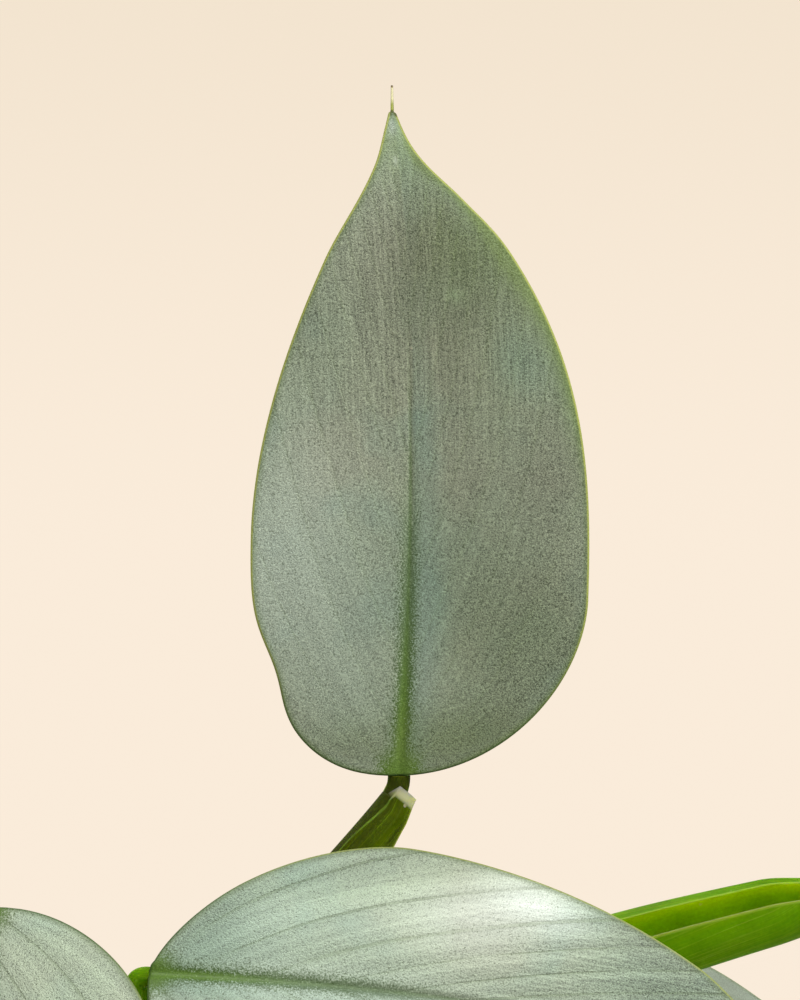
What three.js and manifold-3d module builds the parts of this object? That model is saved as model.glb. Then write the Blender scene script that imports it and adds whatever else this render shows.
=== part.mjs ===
// A philodendron hastatum in a plain clay pot, in millimetres, +Z up.
// The origin is the centre of the pot's flat underside, and the plant shows its front to -Y.
// Three young climbing stems stand in the potting mix. Each leaf is a petiole, with its open sheath, and a
// blade.

import * as THREE from 'three';
import { mergeVertices } from 'three/addons/utils/BufferGeometryUtils.js';
import Module from 'manifold-3d';

const wasm = await Module();
wasm.setup();

// Clearances between pieces that touch in the real plant.
const SEAT_GAP = 0.3;

// Pot
const POT_HEIGHT = 125;
const POT_RIM_RADIUS = 70;
const POT_BODY_TOP_RADIUS = 65;
const POT_BASE_RADIUS = 47;
const POT_RIM_DEPTH = 27;
const POT_WALL = 6;
const POT_FLOOR = 8;
const POT_SIDES = 40;
const DRAIN_RADIUS = 5;
const DRAIN_CIRCLE_RADIUS = 24;
const DRAIN_COUNT = 4;

// Potting mix
const SOIL_LEVEL = 110;
const SOIL_SIDES = 30;
const SOIL_LUMP = 1.6;

// Stems
const STEM_FOOT_RADIUS = 4.6;
const STEM_TOP_RADIUS = 3.9;
const STEM_DEPTH_IN_SOIL = 42;
const STEM_SIDES = 8;
const NODE_SWELLING = 0.45;
const NODE_HALF_LENGTH = 2.2;

// Petioles: a round core with a sheath whose wings rise on the upper side.
const CORE_BASE_RADIUS = 3.3;
const CORE_TIP_RADIUS = 2.4;
const CLASP_WALL = 1.7;
const SHEATH_ENDING = 1.3;
const SHEATH_END_ANGLE = 108;
const SHEATH_END_NARROWING = 0.08;
const STATION_SPACING = 12;
const WING_EDGE = 1.2;
const CLASP_ANGLE = 88;
const WING_GROWS_FROM = 13;
const WING_GROWS_TO = 38;

// Blades
const LAMINA = 0.9;
const RIB_BASE_HALF_WIDTH = 2.0;
const RIB_TIP_HALF_WIDTH = 0.35;
const RIB_BASE_DEPTH = 3.75;
const LAMINA_LIFT = 1.8;
const THREAD_LENGTH = 5.6;

const rad = THREE.MathUtils.degToRad;
const vec = (p) => new THREE.Vector3(...p);
const mix = THREE.MathUtils.lerp;
const smooth = (x, from, to) => THREE.MathUtils.smoothstep(x, from, to);

// Outline of one half of a blade. widest is where along the blade it is broadest; base rounds the part below,
// tip fairs the part above, each as two powers, and taper is where the drawn-out tip starts and its narrowing.
const HALF = { widest: 0.32, base: [2.0, 0.5], tip: [2.3, 1.15], taper: [0.7, 0.35] };
const FIRST_LEFT = {
  widest: 0.36, base: [2.36, 0.41], tip: [1.89, 1.21], taper: [0.65, 0.24],
  dent: { depth: 3.0, at: 0.17, spread: 0.06 },
};
const FIRST_RIGHT = { widest: 0.26, base: [1.7, 0.58], tip: [2.88, 1.12], taper: [0.77, 0.42] };
const SECOND_LEFT = { widest: 0.35, base: [1.68, 0.66], tip: [1.7, 0.91], taper: [0.7, 0.35] };

// Stems: foot at the soil's level, top, and how far the middle bows sideways.
const STEMS = {
  a: { foot: [-8, -4], top: [-33, -5, 206], bow: [2, 3] },
  b: { foot: [27, 14], top: [44, 30, 196], bow: [-2, 1] },
  c: { foot: [-14, 27], top: [-22, 44, 190], bow: [1, -2] },
};

// Leaves. node is the height on the stem and outward the direction, in degrees from +X, on whose side the
// petiole leaves it, leaning out by spread. rise and reach shape the petiole, whose end points along lead and
// turns into the blade over a short bend. Its sheath closes round it by the angle close, narrows towards its
// end and looks to opens there, if it is twisted. base, axis and face place the blade: where it is joined, where
// its midrib first points and where its upper side looks. droop bends it backwards along its length.
const LEAVES = [
  {
    name: '01', stem: 'a', node: 199, outward: 150, spread: 0.1, rise: 30, reach: 34,
    lead: [0.62, 0.1, 0.78], bend: 2.6, sheath: 5.2, close: 150, opens: [0.75, 0.21, -0.62],
    base: [11.8, 14, 284.6], axis: [-0.01, 0.035, 1], face: [0.02, -1, 0.035],
    length: 142, left: 33.8, right: 38.3, leftHalf: FIRST_LEFT, rightHalf: FIRST_RIGHT,
    droop: 3, bow: 3.1, fold: 5, curl: 2.0, wave: [0.8, 1.6, 0.2], twist: 0, rows: 20,
  },
  {
    name: '02', stem: 'a', node: 180, outward: 308, spread: 0.5, rise: 24, reach: 16,
    lead: [0.1, -0.1, 0.99], bend: 2.7, core: 2, sheath: 5.2, close: 138,
    base: [-39.1, -22, 246.7], axis: [0.992, -0.077, -0.101], face: [0.03, -0.87, 0.5],
    length: 138, left: 31.9, right: 34, leftHalf: SECOND_LEFT,
    droop: 11, bow: -2.8, fold: 7, curl: 2.5, wave: [1.0, 1.5, 2.0], twist: 0, rows: 18,
  },
  {
    name: '03', stem: 'a', node: 144, outward: 225, spread: 0.3, rise: 30, reach: 44,
    lead: [0.15, -0.4, 0.9], bend: 8, sheath: 4.6, close: 135, opens: [-0.2, 0.85, 0.5],
    base: [-68.2, -60, 264.2], axis: [0.065, -0.536, -0.841], face: [0.1, -0.7, 0.7],
    length: 134, left: 35, right: 34,
    droop: 16, bow: 1.5, fold: 9, curl: 2.5, wave: [1.0, 1.7, 1.0], twist: 0,
  },
  {
    name: '04', stem: 'a', node: 162, outward: 74, spread: 0.52, rise: 52, reach: 104,
    lead: [0.965, 0.03, 0.25], bend: 4, sheath: 9, narrows: 0.26, close: 160, opens: [-0.1, -0.78, 0.61],
    base: [112, 12, 259.6], axis: [0.9, -0.28, 0.34], face: [-0.25, -0.5, 0.83],
    length: 140, left: 35, right: 36,
    droop: 42, bow: 1.5, fold: 9, curl: 3, wave: [1.2, 1.6, 0.4], twist: -6,
  },
  {
    name: '05', stem: 'b', node: 180, outward: 62, spread: 0.2, rise: 22, reach: 18,
    lead: [0.35, 0.3, 0.88], bend: 4.5, sheath: 5.4, close: 135,
    base: [56.9, 52, 232.5], axis: [0.782, 0.287, -0.553], face: [0.35, -0.55, 0.75],
    length: 128, left: 32, right: 32,
    droop: 12, bow: -1.5, fold: 8, curl: 2.5, wave: [1.1, 1.6, 3.0], twist: 0,
  },
  {
    name: '06', stem: 'c', node: 176, outward: 190, spread: 0.2, rise: 22, reach: 34,
    lead: [-0.85, 0.1, 0.5], bend: 4.5, sheath: 5.6, close: 135,
    base: [-92, 46, 222], axis: [-0.66, 0.18, 0.72], face: [0.42, -0.6, 0.68],
    length: 132, left: 33, right: 33,
    droop: 34, bow: 1.5, fold: 9, curl: 2.5, wave: [1.2, 1.5, 1.5], twist: 5,
  },
  {
    name: '07', stem: 'c', node: 157, outward: 62, spread: 0.3, rise: 20, reach: 26,
    lead: [0.2, 0.85, 0.45], bend: 4.5, sheath: 5.4, close: 135,
    base: [-2, 94, 204], axis: [0.12, 0.96, 0.14], face: [0.05, -0.14, 1],
    length: 124, left: 31, right: 31,
    droop: 48, bow: 1, fold: 10, curl: 2.5, wave: [1.2, 1.7, 0.9], twist: 4,
  },
  {
    name: '08', stem: 'b', node: 160, outward: 300, spread: 0.3, rise: 22, reach: 28,
    lead: [0.35, -0.7, 0.6], bend: 4.5, sheath: 5.6, close: 132,
    base: [62, -44, 206], axis: [0.62, -0.74, -0.22], face: [0.2, -0.15, 0.95],
    length: 126, left: 32, right: 32,
    droop: 38, bow: -1, fold: 9, curl: 2.5, wave: [1.2, 1.6, 2.2], twist: -5,
  },
  {
    name: '09', stem: 'a', node: 128, outward: 300, spread: 0.3, rise: 16, reach: 20,
    lead: [0.1, -0.85, 0.5], bend: 4.5, sheath: 5.2, close: 130,
    base: [2, -68, 166], axis: [0.12, -0.92, -0.36], face: [0.05, -0.35, 0.93],
    length: 108, left: 28, right: 28,
    droop: 42, bow: 1, fold: 9, curl: 2, wave: [1.0, 1.6, 0.1], twist: 5,
  },
  {
    name: '10', stem: 'c', node: 139, outward: 215, spread: 0.3, rise: 18, reach: 22,
    lead: [-0.85, -0.25, 0.45], bend: 4.5, sheath: 5.3, close: 130,
    base: [-86, 4, 180], axis: [-0.93, -0.22, -0.2], face: [-0.2, -0.1, 0.97],
    length: 118, left: 30, right: 30,
    droop: 44, bow: -1, fold: 9, curl: 2.2, wave: [1.1, 1.6, 2.6], twist: -6,
  },
  {
    name: '11', stem: 'b', node: 138, outward: 55, spread: 0.3, rise: 14, reach: 20,
    lead: [0.6, 0.65, 0.45], bend: 4.5, sheath: 5.2, close: 130,
    base: [80, 72, 170], axis: [0.74, 0.62, -0.2], face: [0.15, 0.1, 0.98],
    length: 106, left: 27, right: 27,
    droop: 46, bow: 1, fold: 9, curl: 2, wave: [1.0, 1.5, 1.2], twist: 4,
  },
  {
    name: '12', stem: 'c', node: 122, outward: 125, spread: 0.3, rise: 12, reach: 18,
    lead: [-0.5, 0.75, 0.45], bend: 4.5, sheath: 5.0, close: 130,
    base: [-56, 84, 152], axis: [-0.6, 0.76, -0.22], face: [-0.1, 0.15, 0.98],
    length: 98, left: 25, right: 25,
    droop: 44, bow: 1, fold: 9, curl: 2, wave: [0.9, 1.6, 2.0], twist: -4,
  },
];

// New leaves, still rolled, that stand on the tops of stems b and c.
const NEW_LEAVES = [
  { name: 'new_leaf_b', stem: 'b', length: 42, lean: [-0.35, -0.4] },
  { name: 'new_leaf_c', stem: 'c', length: 38, lean: [0.25, -0.15] },
];
const NEW_LEAF_SIDES = 7;

const paint = (color, roughness) => new THREE.MeshStandardMaterial({ color, roughness, metalness: 0 });
const CLAY = paint(0xb9714d, 0.9);
const MIX = paint(0x3b2a20, 0.95);
const STEM_GREEN = paint(0x5f7a2c, 0.55);
const PETIOLE_GREEN = paint(0x679018, 0.45);
const SILVER_GREEN = paint(0x8b9a82, 0.5);
const NEW_GREEN = paint(0x8fae3c, 0.45);

// A closed mesh from points and triangles, turned so that its faces look outwards.
function closedGeometry(points, triangles) {
  let volume = 0;
  for (const [a, b, c] of triangles) {
    volume += points[a].dot(new THREE.Vector3().crossVectors(points[b], points[c]));
  }
  const index = triangles.flatMap(([a, b, c]) => (volume < 0 ? [a, c, b] : [a, b, c]));
  const geometry = new THREE.BufferGeometry();
  const places = points.flatMap((p) => [p.x, p.y, p.z]);
  geometry.setAttribute('position', new THREE.Float32BufferAttribute(places, 3));
  geometry.setIndex(index);
  return geometry;
}

// Rings of equally many points, joined one to the next, with a flat-cut cap on the first and the last. A
// contour is a ring's outline in its own plane, as [x, y] pairs, which its cap is cut up by. Four-sided faces
// are split along their shorter diagonal, which keeps the two faces of a thin wall alike.
const CLEARLY_SHORTER = 0.99;
function loft(rings, firstContour, lastContour = firstContour) {
  const count = rings[0].length;
  const points = rings.flat();
  const triangles = [];
  const span = (p, q) => points[p].distanceTo(points[q]);
  for (let i = 0; i + 1 < rings.length; i += 1) {
    for (let j = 0; j < count; j += 1) {
      const [a, b] = [i * count + j, i * count + ((j + 1) % count)];
      const [c, d] = [a + count, b + count];
      if (span(b, c) < CLEARLY_SHORTER * span(a, d)) triangles.push([a, b, c], [b, d, c]);
      else triangles.push([a, b, d], [a, d, c]);
    }
  }
  const cut = (contour) => THREE.ShapeUtils.triangulateShape(contour.map((p) => new THREE.Vector2(...p)), []);
  const end = (rings.length - 1) * count;
  const turn = ringsTurn(firstContour);
  cut(firstContour).forEach(([a, b, c]) => triangles.push(turn > 0 ? [a, c, b] : [a, b, c]));
  cut(lastContour).forEach(([a, b, c]) => {
    triangles.push(turn > 0 ? [end + a, end + b, end + c] : [end + a, end + c, end + b]);
  });
  return closedGeometry(points, triangles);
}

// Which way round a contour runs: triangulateShape always answers anticlockwise.
function ringsTurn(contour) {
  return THREE.ShapeUtils.area(contour.map((p) => new THREE.Vector2(...p)));
}

function circle(sides, radius = 1) {
  return Array.from({ length: sides }, (_, j) => {
    const angle = (2 * Math.PI * j) / sides;
    return [radius * Math.cos(angle), radius * Math.sin(angle)];
  });
}

// Two directions across a tangent, the first as near to hint as it can be.
function across(tangent, hint) {
  const first = hint.clone().addScaledVector(tangent, -hint.dot(tangent)).normalize();
  return [first, new THREE.Vector3().crossVectors(tangent, first)];
}

function place(centre, first, second, [x, y]) {
  return centre.clone().addScaledVector(first, x).addScaledVector(second, y);
}

// Solids for cutting and joining.
function toSolid(geometry) {
  const bare = new THREE.BufferGeometry().setAttribute('position', geometry.getAttribute('position'));
  if (geometry.index) bare.setIndex(geometry.index);
  const merged = mergeVertices(bare, 1e-4);
  return new wasm.Manifold(new wasm.Mesh({
    numProp: 3,
    vertProperties: new Float32Array(merged.attributes.position.array),
    triVerts: new Uint32Array(merged.index.array),
  }));
}

function fromSolid(solid) {
  const mesh = solid.getMesh();
  const geometry = new THREE.BufferGeometry();
  geometry.setAttribute('position', new THREE.BufferAttribute(new Float32Array(mesh.vertProperties), 3));
  geometry.setIndex(new THREE.BufferAttribute(new Uint32Array(mesh.triVerts), 1));
  return geometry;
}

// Pot: a tapered body with a thick rolled rim and four drain holes round the middle of its floor.
function potGeometry() {
  const rimFoot = POT_HEIGHT - POT_RIM_DEPTH;
  const rimEdge = 2;
  const innerTop = POT_RIM_RADIUS - POT_WALL - rimEdge;
  const profile = [
    [0, 0],
    [POT_BASE_RADIUS - 1.5, 0],
    [POT_BASE_RADIUS, 1.5],
    [POT_BODY_TOP_RADIUS, rimFoot - 1],
    [POT_RIM_RADIUS - 1.5, rimFoot + 1.5],
    [POT_RIM_RADIUS, POT_HEIGHT - rimEdge],
    [POT_RIM_RADIUS - rimEdge, POT_HEIGHT],
    [innerTop + rimEdge, POT_HEIGHT],
    [innerTop, POT_HEIGHT - rimEdge],
    [potInnerRadius(POT_FLOOR), POT_FLOOR],
    [0, POT_FLOOR],
  ].map((p) => new THREE.Vector2(...p));
  const body = new THREE.LatheGeometry(profile, POT_SIDES).rotateX(Math.PI / 2);
  let solid = toSolid(body);
  for (let i = 0; i < DRAIN_COUNT; i += 1) {
    const angle = (2 * Math.PI * (i + 0.5)) / DRAIN_COUNT;
    const drain = new THREE.CylinderGeometry(DRAIN_RADIUS, DRAIN_RADIUS, 4 * POT_FLOOR, 14);
    drain.rotateX(Math.PI / 2);
    drain.translate(DRAIN_CIRCLE_RADIUS * Math.cos(angle), DRAIN_CIRCLE_RADIUS * Math.sin(angle), 0);
    solid = solid.subtract(toSolid(drain));
  }
  return fromSolid(solid);
}

// The pot's inner wall runs straight from its floor to just under its lip.
function potInnerRadius(z) {
  const lowest = POT_BASE_RADIUS - POT_WALL + 1;
  const highest = POT_RIM_RADIUS - POT_WALL - 2;
  return mix(lowest, highest, (z - POT_FLOOR) / (POT_HEIGHT - 2 - POT_FLOOR));
}

// Lumps of the mix: a few crossing waves, in share of SOIL_LUMP.
function lump(x, y) {
  return Math.sin(x * 0.31 + 1.2) * Math.cos(y * 0.27) + 0.6 * Math.sin(x * 0.53 - y * 0.47 + 0.5);
}

// Potting mix: fills the pot to SOIL_LEVEL, lumpy on top, with a plain hole for each stem.
function soilGeometry() {
  const facetShrink = Math.cos(Math.PI / POT_SIDES);
  const radiusAt = (z) => potInnerRadius(z) * facetShrink - SEAT_GAP;
  const low = POT_FLOOR + SEAT_GAP;
  const flat = circle(SOIL_SIDES);
  const ring = (radius, heightAt) => flat.map(([x, y]) => {
    const [px, py] = [radius * x, radius * y];
    return new THREE.Vector3(px, py, heightAt(px, py));
  });
  const topAt = (x, y) => SOIL_LEVEL + SOIL_LUMP * lump(x, y);
  const edge = SOIL_LEVEL - 2 * SOIL_LUMP;
  const rings = [ring(radiusAt(low), () => low), ring(radiusAt(edge), () => edge)];
  [0.94, 0.78, 0.6, 0.4, 0.2].forEach((share) => rings.push(ring(share * radiusAt(edge), topAt)));
  let solid = toSolid(loft(rings, flat));
  for (const name of Object.keys(STEMS)) {
    solid = solid.subtract(toSolid(stemGeometry(name, SEAT_GAP)));
  }
  return fromSolid(solid);
}

// A stem's axis: w is 0 at the soil and 1 at the top, and below 0 in the soil.
function stemPoint(name, w) {
  const { foot, top, bow } = STEMS[name];
  const arch = 4 * w * (1 - w);
  return new THREE.Vector3(
    mix(foot[0], top[0], w) + bow[0] * arch,
    mix(foot[1], top[1], w) + bow[1] * arch,
    mix(SOIL_LEVEL, top[2], w),
  );
}

function stemShare(name, z) {
  return (z - SOIL_LEVEL) / (STEMS[name].top[2] - SOIL_LEVEL);
}

function stemTangent(name, w) {
  return stemPoint(name, w + 0.01).sub(stemPoint(name, w - 0.01)).normalize();
}

function stemRadius(w) {
  return mix(STEM_FOOT_RADIUS, STEM_TOP_RADIUS, Math.max(w, 0));
}

// Stem: a slim round axis, swollen in a ring at each node. grow widens it, for the hole that it stands in.
function stemGeometry(name, grow = 0) {
  const nodes = LEAVES.filter((leaf) => leaf.stem === name).map((leaf) => leaf.node);
  const top = STEMS[name].top[2];
  const heights = [SOIL_LEVEL - STEM_DEPTH_IN_SOIL - grow, SOIL_LEVEL - 20, SOIL_LEVEL + 4, top];
  nodes.forEach((z) => heights.push(z - NODE_HALF_LENGTH, z, z + NODE_HALF_LENGTH));
  heights.sort((a, b) => a - b);
  const rings = heights.map((z) => {
    const w = stemShare(name, z);
    const swelling = nodes.includes(z) ? NODE_SWELLING : 0;
    const radius = stemRadius(w) + swelling + grow;
    const [first, second] = across(stemTangent(name, w), new THREE.Vector3(1, 0, 0));
    return circle(STEM_SIDES, radius).map((p) => place(stemPoint(name, w), first, second, p));
  });
  return loft(rings, circle(STEM_SIDES));
}

// Cross-section of a petiole as [towards the upper side, sideways] pairs. open is 1 where it carries its
// sheath, a trough of outer radius sheath whose wings end at the angle close from its back, and 0 where only
// the core is left.
const OUTER_STEPS = [-1, -0.72, -0.38, 0, 0.38, 0.72, 1];
const INNER_STEPS = [0.86, 0.45, 0, -0.45, -0.86];
const CORE_BACK = 105;
function petioleSection({ core, sheath, close, back, open }) {
  const trough = (angle, radius) => [sheath - core - radius * Math.cos(angle), radius * Math.sin(angle)];
  const round = (angle) => [-core * Math.cos(angle), core * Math.sin(angle)];
  const section = [];
  OUTER_STEPS.forEach((step) => {
    section.push([trough(rad(close * step), sheath), round(rad(CORE_BACK * step))]);
  });
  INNER_STEPS.forEach((step) => {
    const angle = rad(close * step);
    const wall = WING_EDGE + (back - WING_EDGE) * Math.max(0, Math.cos(angle)) ** 1.5;
    section.push([trough(angle, sheath - wall), round(Math.PI - rad((180 - CORE_BACK) * step))]);
  });
  return section.map(([a, b]) => [mix(b[0], a[0], open), mix(b[1], a[1], open)]);
}

// The line that a petiole's core follows: up along the stem, out to the blade, and through a short end bend.
function petiolePath(leaf) {
  const w = stemShare(leaf.stem, leaf.node);
  const up = stemTangent(leaf.stem, w);
  const outward = new THREE.Vector3(Math.cos(rad(leaf.outward)), Math.sin(rad(leaf.outward)), 0);
  const [out] = across(up, outward);
  const clasp = stemRadius(w) + NODE_SWELLING + SEAT_GAP + CLASP_WALL;
  const start = stemPoint(leaf.stem, w).addScaledVector(out, clasp - CORE_BASE_RADIUS);
  const first = up.clone().addScaledVector(out, leaf.spread).normalize();
  const lead = vec(leaf.lead).normalize();
  const finish = vec(leaf.base);
  const corner = finish.clone().addScaledVector(vec(leaf.axis).normalize(), -leaf.bend);
  const elbow = corner.clone().addScaledVector(lead, -leaf.bend);
  const long = new THREE.CubicBezierCurve3(
    start,
    start.clone().addScaledVector(first, leaf.rise),
    elbow.clone().addScaledVector(lead, -leaf.reach),
    elbow,
  );
  const short = new THREE.QuadraticBezierCurve3(elbow, corner, finish);
  return { long, short, out, clasp };
}

// Distances along a petiole at which it has a section: closer over its foot and where its sheath ends.
function petioleStations(length, ending) {
  const foot = [0, 6, 12, 18, 24, 31, 38];
  const end = [1, 0.66, 0.33, 0].map((share) => length - ending * share);
  const [from, span] = [foot[foot.length - 1], end[0] - foot[foot.length - 1]];
  const count = Math.ceil(span / STATION_SPACING);
  const between = Array.from({ length: count - 1 }, (_, i) => from + (span * (i + 1)) / count);
  return [...foot, ...between, ...end];
}

// Petiole: sections carried along the path, upper side to the stem at first. The sheath ends before the bend.
const BEND_STEPS = [0.3, 0.65, 1];
function petioleGeometry(leaf) {
  const { long, short, out, clasp } = petiolePath(leaf);
  const length = long.getLength();
  const ending = SHEATH_ENDING * leaf.sheath;
  const stations = [
    ...petioleStations(length, ending).map((along) => {
      const u = Math.min(along / length, 1);
      return { along, share: u, at: long.getPointAt(u), tangent: long.getTangentAt(u), open: 1 };
    }),
    ...BEND_STEPS.map((t) => {
      return { along: length, share: 1, at: short.getPoint(t), tangent: short.getTangent(t), open: 0 };
    }),
  ];
  let upper = out.clone().negate();
  stations.forEach((station) => {
    [upper] = across(station.tangent, upper);
    station.upper = upper;
  });
  const last = stations[stations.length - BEND_STEPS.length - 1];
  const [wanted] = across(last.tangent, leaf.opens ? vec(leaf.opens) : last.upper);
  const side = new THREE.Vector3().crossVectors(last.tangent, last.upper);
  const turn = Math.atan2(wanted.dot(side), wanted.dot(last.upper));
  const sections = stations.map(({ along, share, at, tangent, upper: facing, open }) => {
    const grown = smooth(along, WING_GROWS_FROM, WING_GROWS_TO);
    const whole = smooth(length - along, 0, ending);
    const core = mix(CORE_BASE_RADIUS, leaf.core ?? CORE_TIP_RADIUS, share);
    const narrowed = leaf.sheath * (1 - (leaf.narrows ?? 0) * smooth(share, 0.62, 1.05));
    const sheath = mix(clasp, narrowed, smooth(along, 4, WING_GROWS_TO));
    const section = petioleSection({
      core,
      sheath: sheath * (1 - SHEATH_END_NARROWING * (1 - whole)),
      close: mix(SHEATH_END_ANGLE, mix(CLASP_ANGLE, leaf.close, grown), whole),
      back: mix(CLASP_WALL, 1.75 * core, smooth(along, 6, WING_GROWS_TO)),
      open,
    });
    const turned = facing.clone().applyAxisAngle(tangent, turn * smooth(share, 0, 0.8));
    const sideways = new THREE.Vector3().crossVectors(tangent, turned);
    return { section, ring: section.map((p) => place(at, turned, sideways, p)) };
  });
  return loft(sections.map((s) => s.ring), sections[0].section, sections[sections.length - 1].section);
}

// How far a blade reaches from its midrib at the share u of its length.
function halfWidth(u, width, half) {
  const ribHalf = mix(RIB_BASE_HALF_WIDTH, RIB_TIP_HALF_WIDTH, Math.min(u, 1));
  if (u >= 1) return 1.6 * ribHalf;
  const { widest, base, tip, taper, dent } = half;
  let share;
  if (u < widest) {
    share = (1 - ((widest - u) / widest) ** base[0]) ** base[1];
  } else {
    const v = (u - widest) / (1 - widest);
    share = (1 - v ** tip[0]) ** tip[1] * (1 - taper[1] * smooth(v, taper[0], 0.95));
  }
  const dip = dent ? dent.depth * Math.exp(-(((u - dent.at) / dent.spread) ** 2)) : 0;
  return Math.max(width * share - dip, 1.6 * ribHalf);
}

// A blade's surface: the midrib runs on an arc that bends back by droop, both halves rise from it by fold,
// sink again by curl towards the margin, and wave along it. depth is measured down from the upper side.
function bladePoint(leaf, frame, u, { side, distance, reach }, depth) {
  const { origin, x, y, z } = frame;
  const turn = rad(leaf.droop);
  const angle = turn * u;
  const along = leaf.length * (Math.abs(turn) < 1e-6 ? u : Math.sin(angle) / turn);
  const sink = leaf.length * (Math.abs(turn) < 1e-6 ? 0 : (1 - Math.cos(angle)) / turn);
  const centre = origin.clone().addScaledVector(y, along).addScaledVector(z, -sink);
  centre.addScaledVector(x, leaf.bow * Math.sin(Math.PI * Math.min(u, 1)));
  const tangent = y.clone().multiplyScalar(Math.cos(angle)).addScaledVector(z, -Math.sin(angle));
  const lift = new THREE.Vector3().crossVectors(x, tangent);
  const roll = rad(leaf.twist) * u;
  const sideways = x.clone().applyAxisAngle(tangent, roll);
  lift.applyAxisAngle(tangent, roll);
  const share = reach > 0 ? distance / reach : 0;
  const [amount, count, phase] = leaf.wave;
  const slope = Math.tan(rad(leaf.fold));
  const waved = amount * share ** 2 * Math.sin(2 * Math.PI * count * u + phase + side);
  const height = slope * distance - leaf.curl * (distance / leaf.left) ** 2 + waved * smooth(u, 0, 0.12);
  return centre
    .addScaledVector(sideways, side * distance)
    .addScaledVector(lift, height - depth);
}

function bladeFrame(leaf) {
  const y = vec(leaf.axis).normalize();
  const [z] = across(y, vec(leaf.face));
  const x = new THREE.Vector3().crossVectors(y, z);
  const origin = vec(leaf.base).addScaledVector(y, SEAT_GAP).addScaledVector(z, LAMINA_LIFT + LAMINA / 2);
  return { origin, x, y, z };
}

// Blade: an upper and a lower sheet, cut up alike, with a rib under the middle and a thread-like tip.
function bladeGeometry(leaf) {
  const frame = bladeFrame(leaf);
  const rows = leaf.rows ?? 13;
  const columns = [0.52, 1];
  const shares = Array.from({ length: rows + 1 }, (_, i) => (1 - Math.cos((Math.PI * i) / rows)) / 2);
  shares.push(1 + THREAD_LENGTH / leaf.length);
  const upper = [];
  const lower = [];
  shares.forEach((u) => {
    const rib = mix(RIB_BASE_HALF_WIDTH, RIB_TIP_HALF_WIDTH, Math.min(u, 1));
    const line = [];
    for (const side of [-1, 1]) {
      const left = side < 0;
      const width = left ? leaf.left : leaf.right;
      const half = (left ? leaf.leftHalf : leaf.rightHalf) ?? HALF;
      const reach = halfWidth(u, width, half) * (u > 1 ? 0.8 : 1);
      const distances = [rib, ...columns.map((c) => mix(rib, reach, c))];
      const stations = distances.map((distance) => ({ side, distance, reach }));
      if (left) line.push(...stations.reverse(), { side, distance: 0, reach });
      else line.push(...stations);
    }
    const ribDepth = RIB_BASE_DEPTH * Math.max(0, 1 - u) ** 1.1;
    upper.push(line.map((p) => bladePoint(leaf, frame, u, p, 0)));
    lower.push(line.map((p) => bladePoint(leaf, frame, u, p, LAMINA + (p.distance === 0 ? ribDepth : 0))));
  });
  return sheetGeometry(upper, lower);
}

// Two sheets of points, row by row, closed round their edge.
function sheetGeometry(upper, lower) {
  const rows = upper.length;
  const columns = upper[0].length;
  const points = [...upper.flat(), ...lower.flat()];
  const below = rows * columns;
  const at = (i, j) => i * columns + j;
  const triangles = [];
  for (let i = 0; i + 1 < rows; i += 1) {
    for (let j = 0; j + 1 < columns; j += 1) {
      const [a, b, c, d] = [at(i, j), at(i, j + 1), at(i + 1, j + 1), at(i + 1, j)];
      triangles.push([a, b, c], [a, c, d]);
      triangles.push([below + a, below + c, below + b], [below + a, below + d, below + c]);
    }
  }
  const rim = [];
  for (let j = 0; j + 1 < columns; j += 1) rim.push(at(0, j));
  for (let i = 0; i + 1 < rows; i += 1) rim.push(at(i, columns - 1));
  for (let j = columns - 1; j > 0; j -= 1) rim.push(at(rows - 1, j));
  for (let i = rows - 1; i > 0; i -= 1) rim.push(at(i, 0));
  rim.forEach((a, k) => {
    const b = rim[(k + 1) % rim.length];
    triangles.push([b, a, below + a], [b, below + a, below + b]);
  });
  return closedGeometry(points, triangles);
}

// New leaf: a rolled spear, thickest a third of the way up, that carries on from its stem.
function newLeafGeometry({ stem, length, lean }) {
  const start = stemPoint(stem, 1);
  const up = stemTangent(stem, 1);
  start.addScaledVector(up, SEAT_GAP);
  const rings = [0, 0.12, 0.3, 0.55, 0.8, 0.94, 1].map((share) => {
    const radius = share < 0.3 ? mix(3.2, 3.9, share / 0.3) : mix(3.9, 0.5, ((share - 0.3) / 0.7) ** 1.4);
    const drift = length * share ** 2;
    const centre = start.clone().addScaledVector(up, length * share);
    centre.add(new THREE.Vector3(lean[0] * drift, lean[1] * drift, 0));
    const leaning = new THREE.Vector3(2 * lean[0] * share, 2 * lean[1] * share, 0);
    const tangent = up.clone().add(leaning).normalize();
    const [first, second] = across(share === 0 ? up : tangent, new THREE.Vector3(1, 0, 0));
    return circle(NEW_LEAF_SIDES, radius).map((p) => place(centre, first, second, p));
  });
  return loft(rings, circle(NEW_LEAF_SIDES));
}

const plant = new THREE.Group();

function add(name, geometry, material) {
  const mesh = new THREE.Mesh(geometry, material);
  mesh.name = name;
  plant.add(mesh);
}

add('pot', potGeometry(), CLAY);
add('potting_mix', soilGeometry(), MIX);
Object.keys(STEMS).forEach((name) => add(`stem_${name}`, stemGeometry(name), STEM_GREEN));
LEAVES.forEach((leaf) => {
  add(`petiole_${leaf.name}`, petioleGeometry(leaf), PETIOLE_GREEN);
  add(`blade_${leaf.name}`, bladeGeometry(leaf), SILVER_GREEN);
});
NEW_LEAVES.forEach((leaf) => add(leaf.name, newLeafGeometry(leaf), NEW_GREEN));

export default plant;
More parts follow.
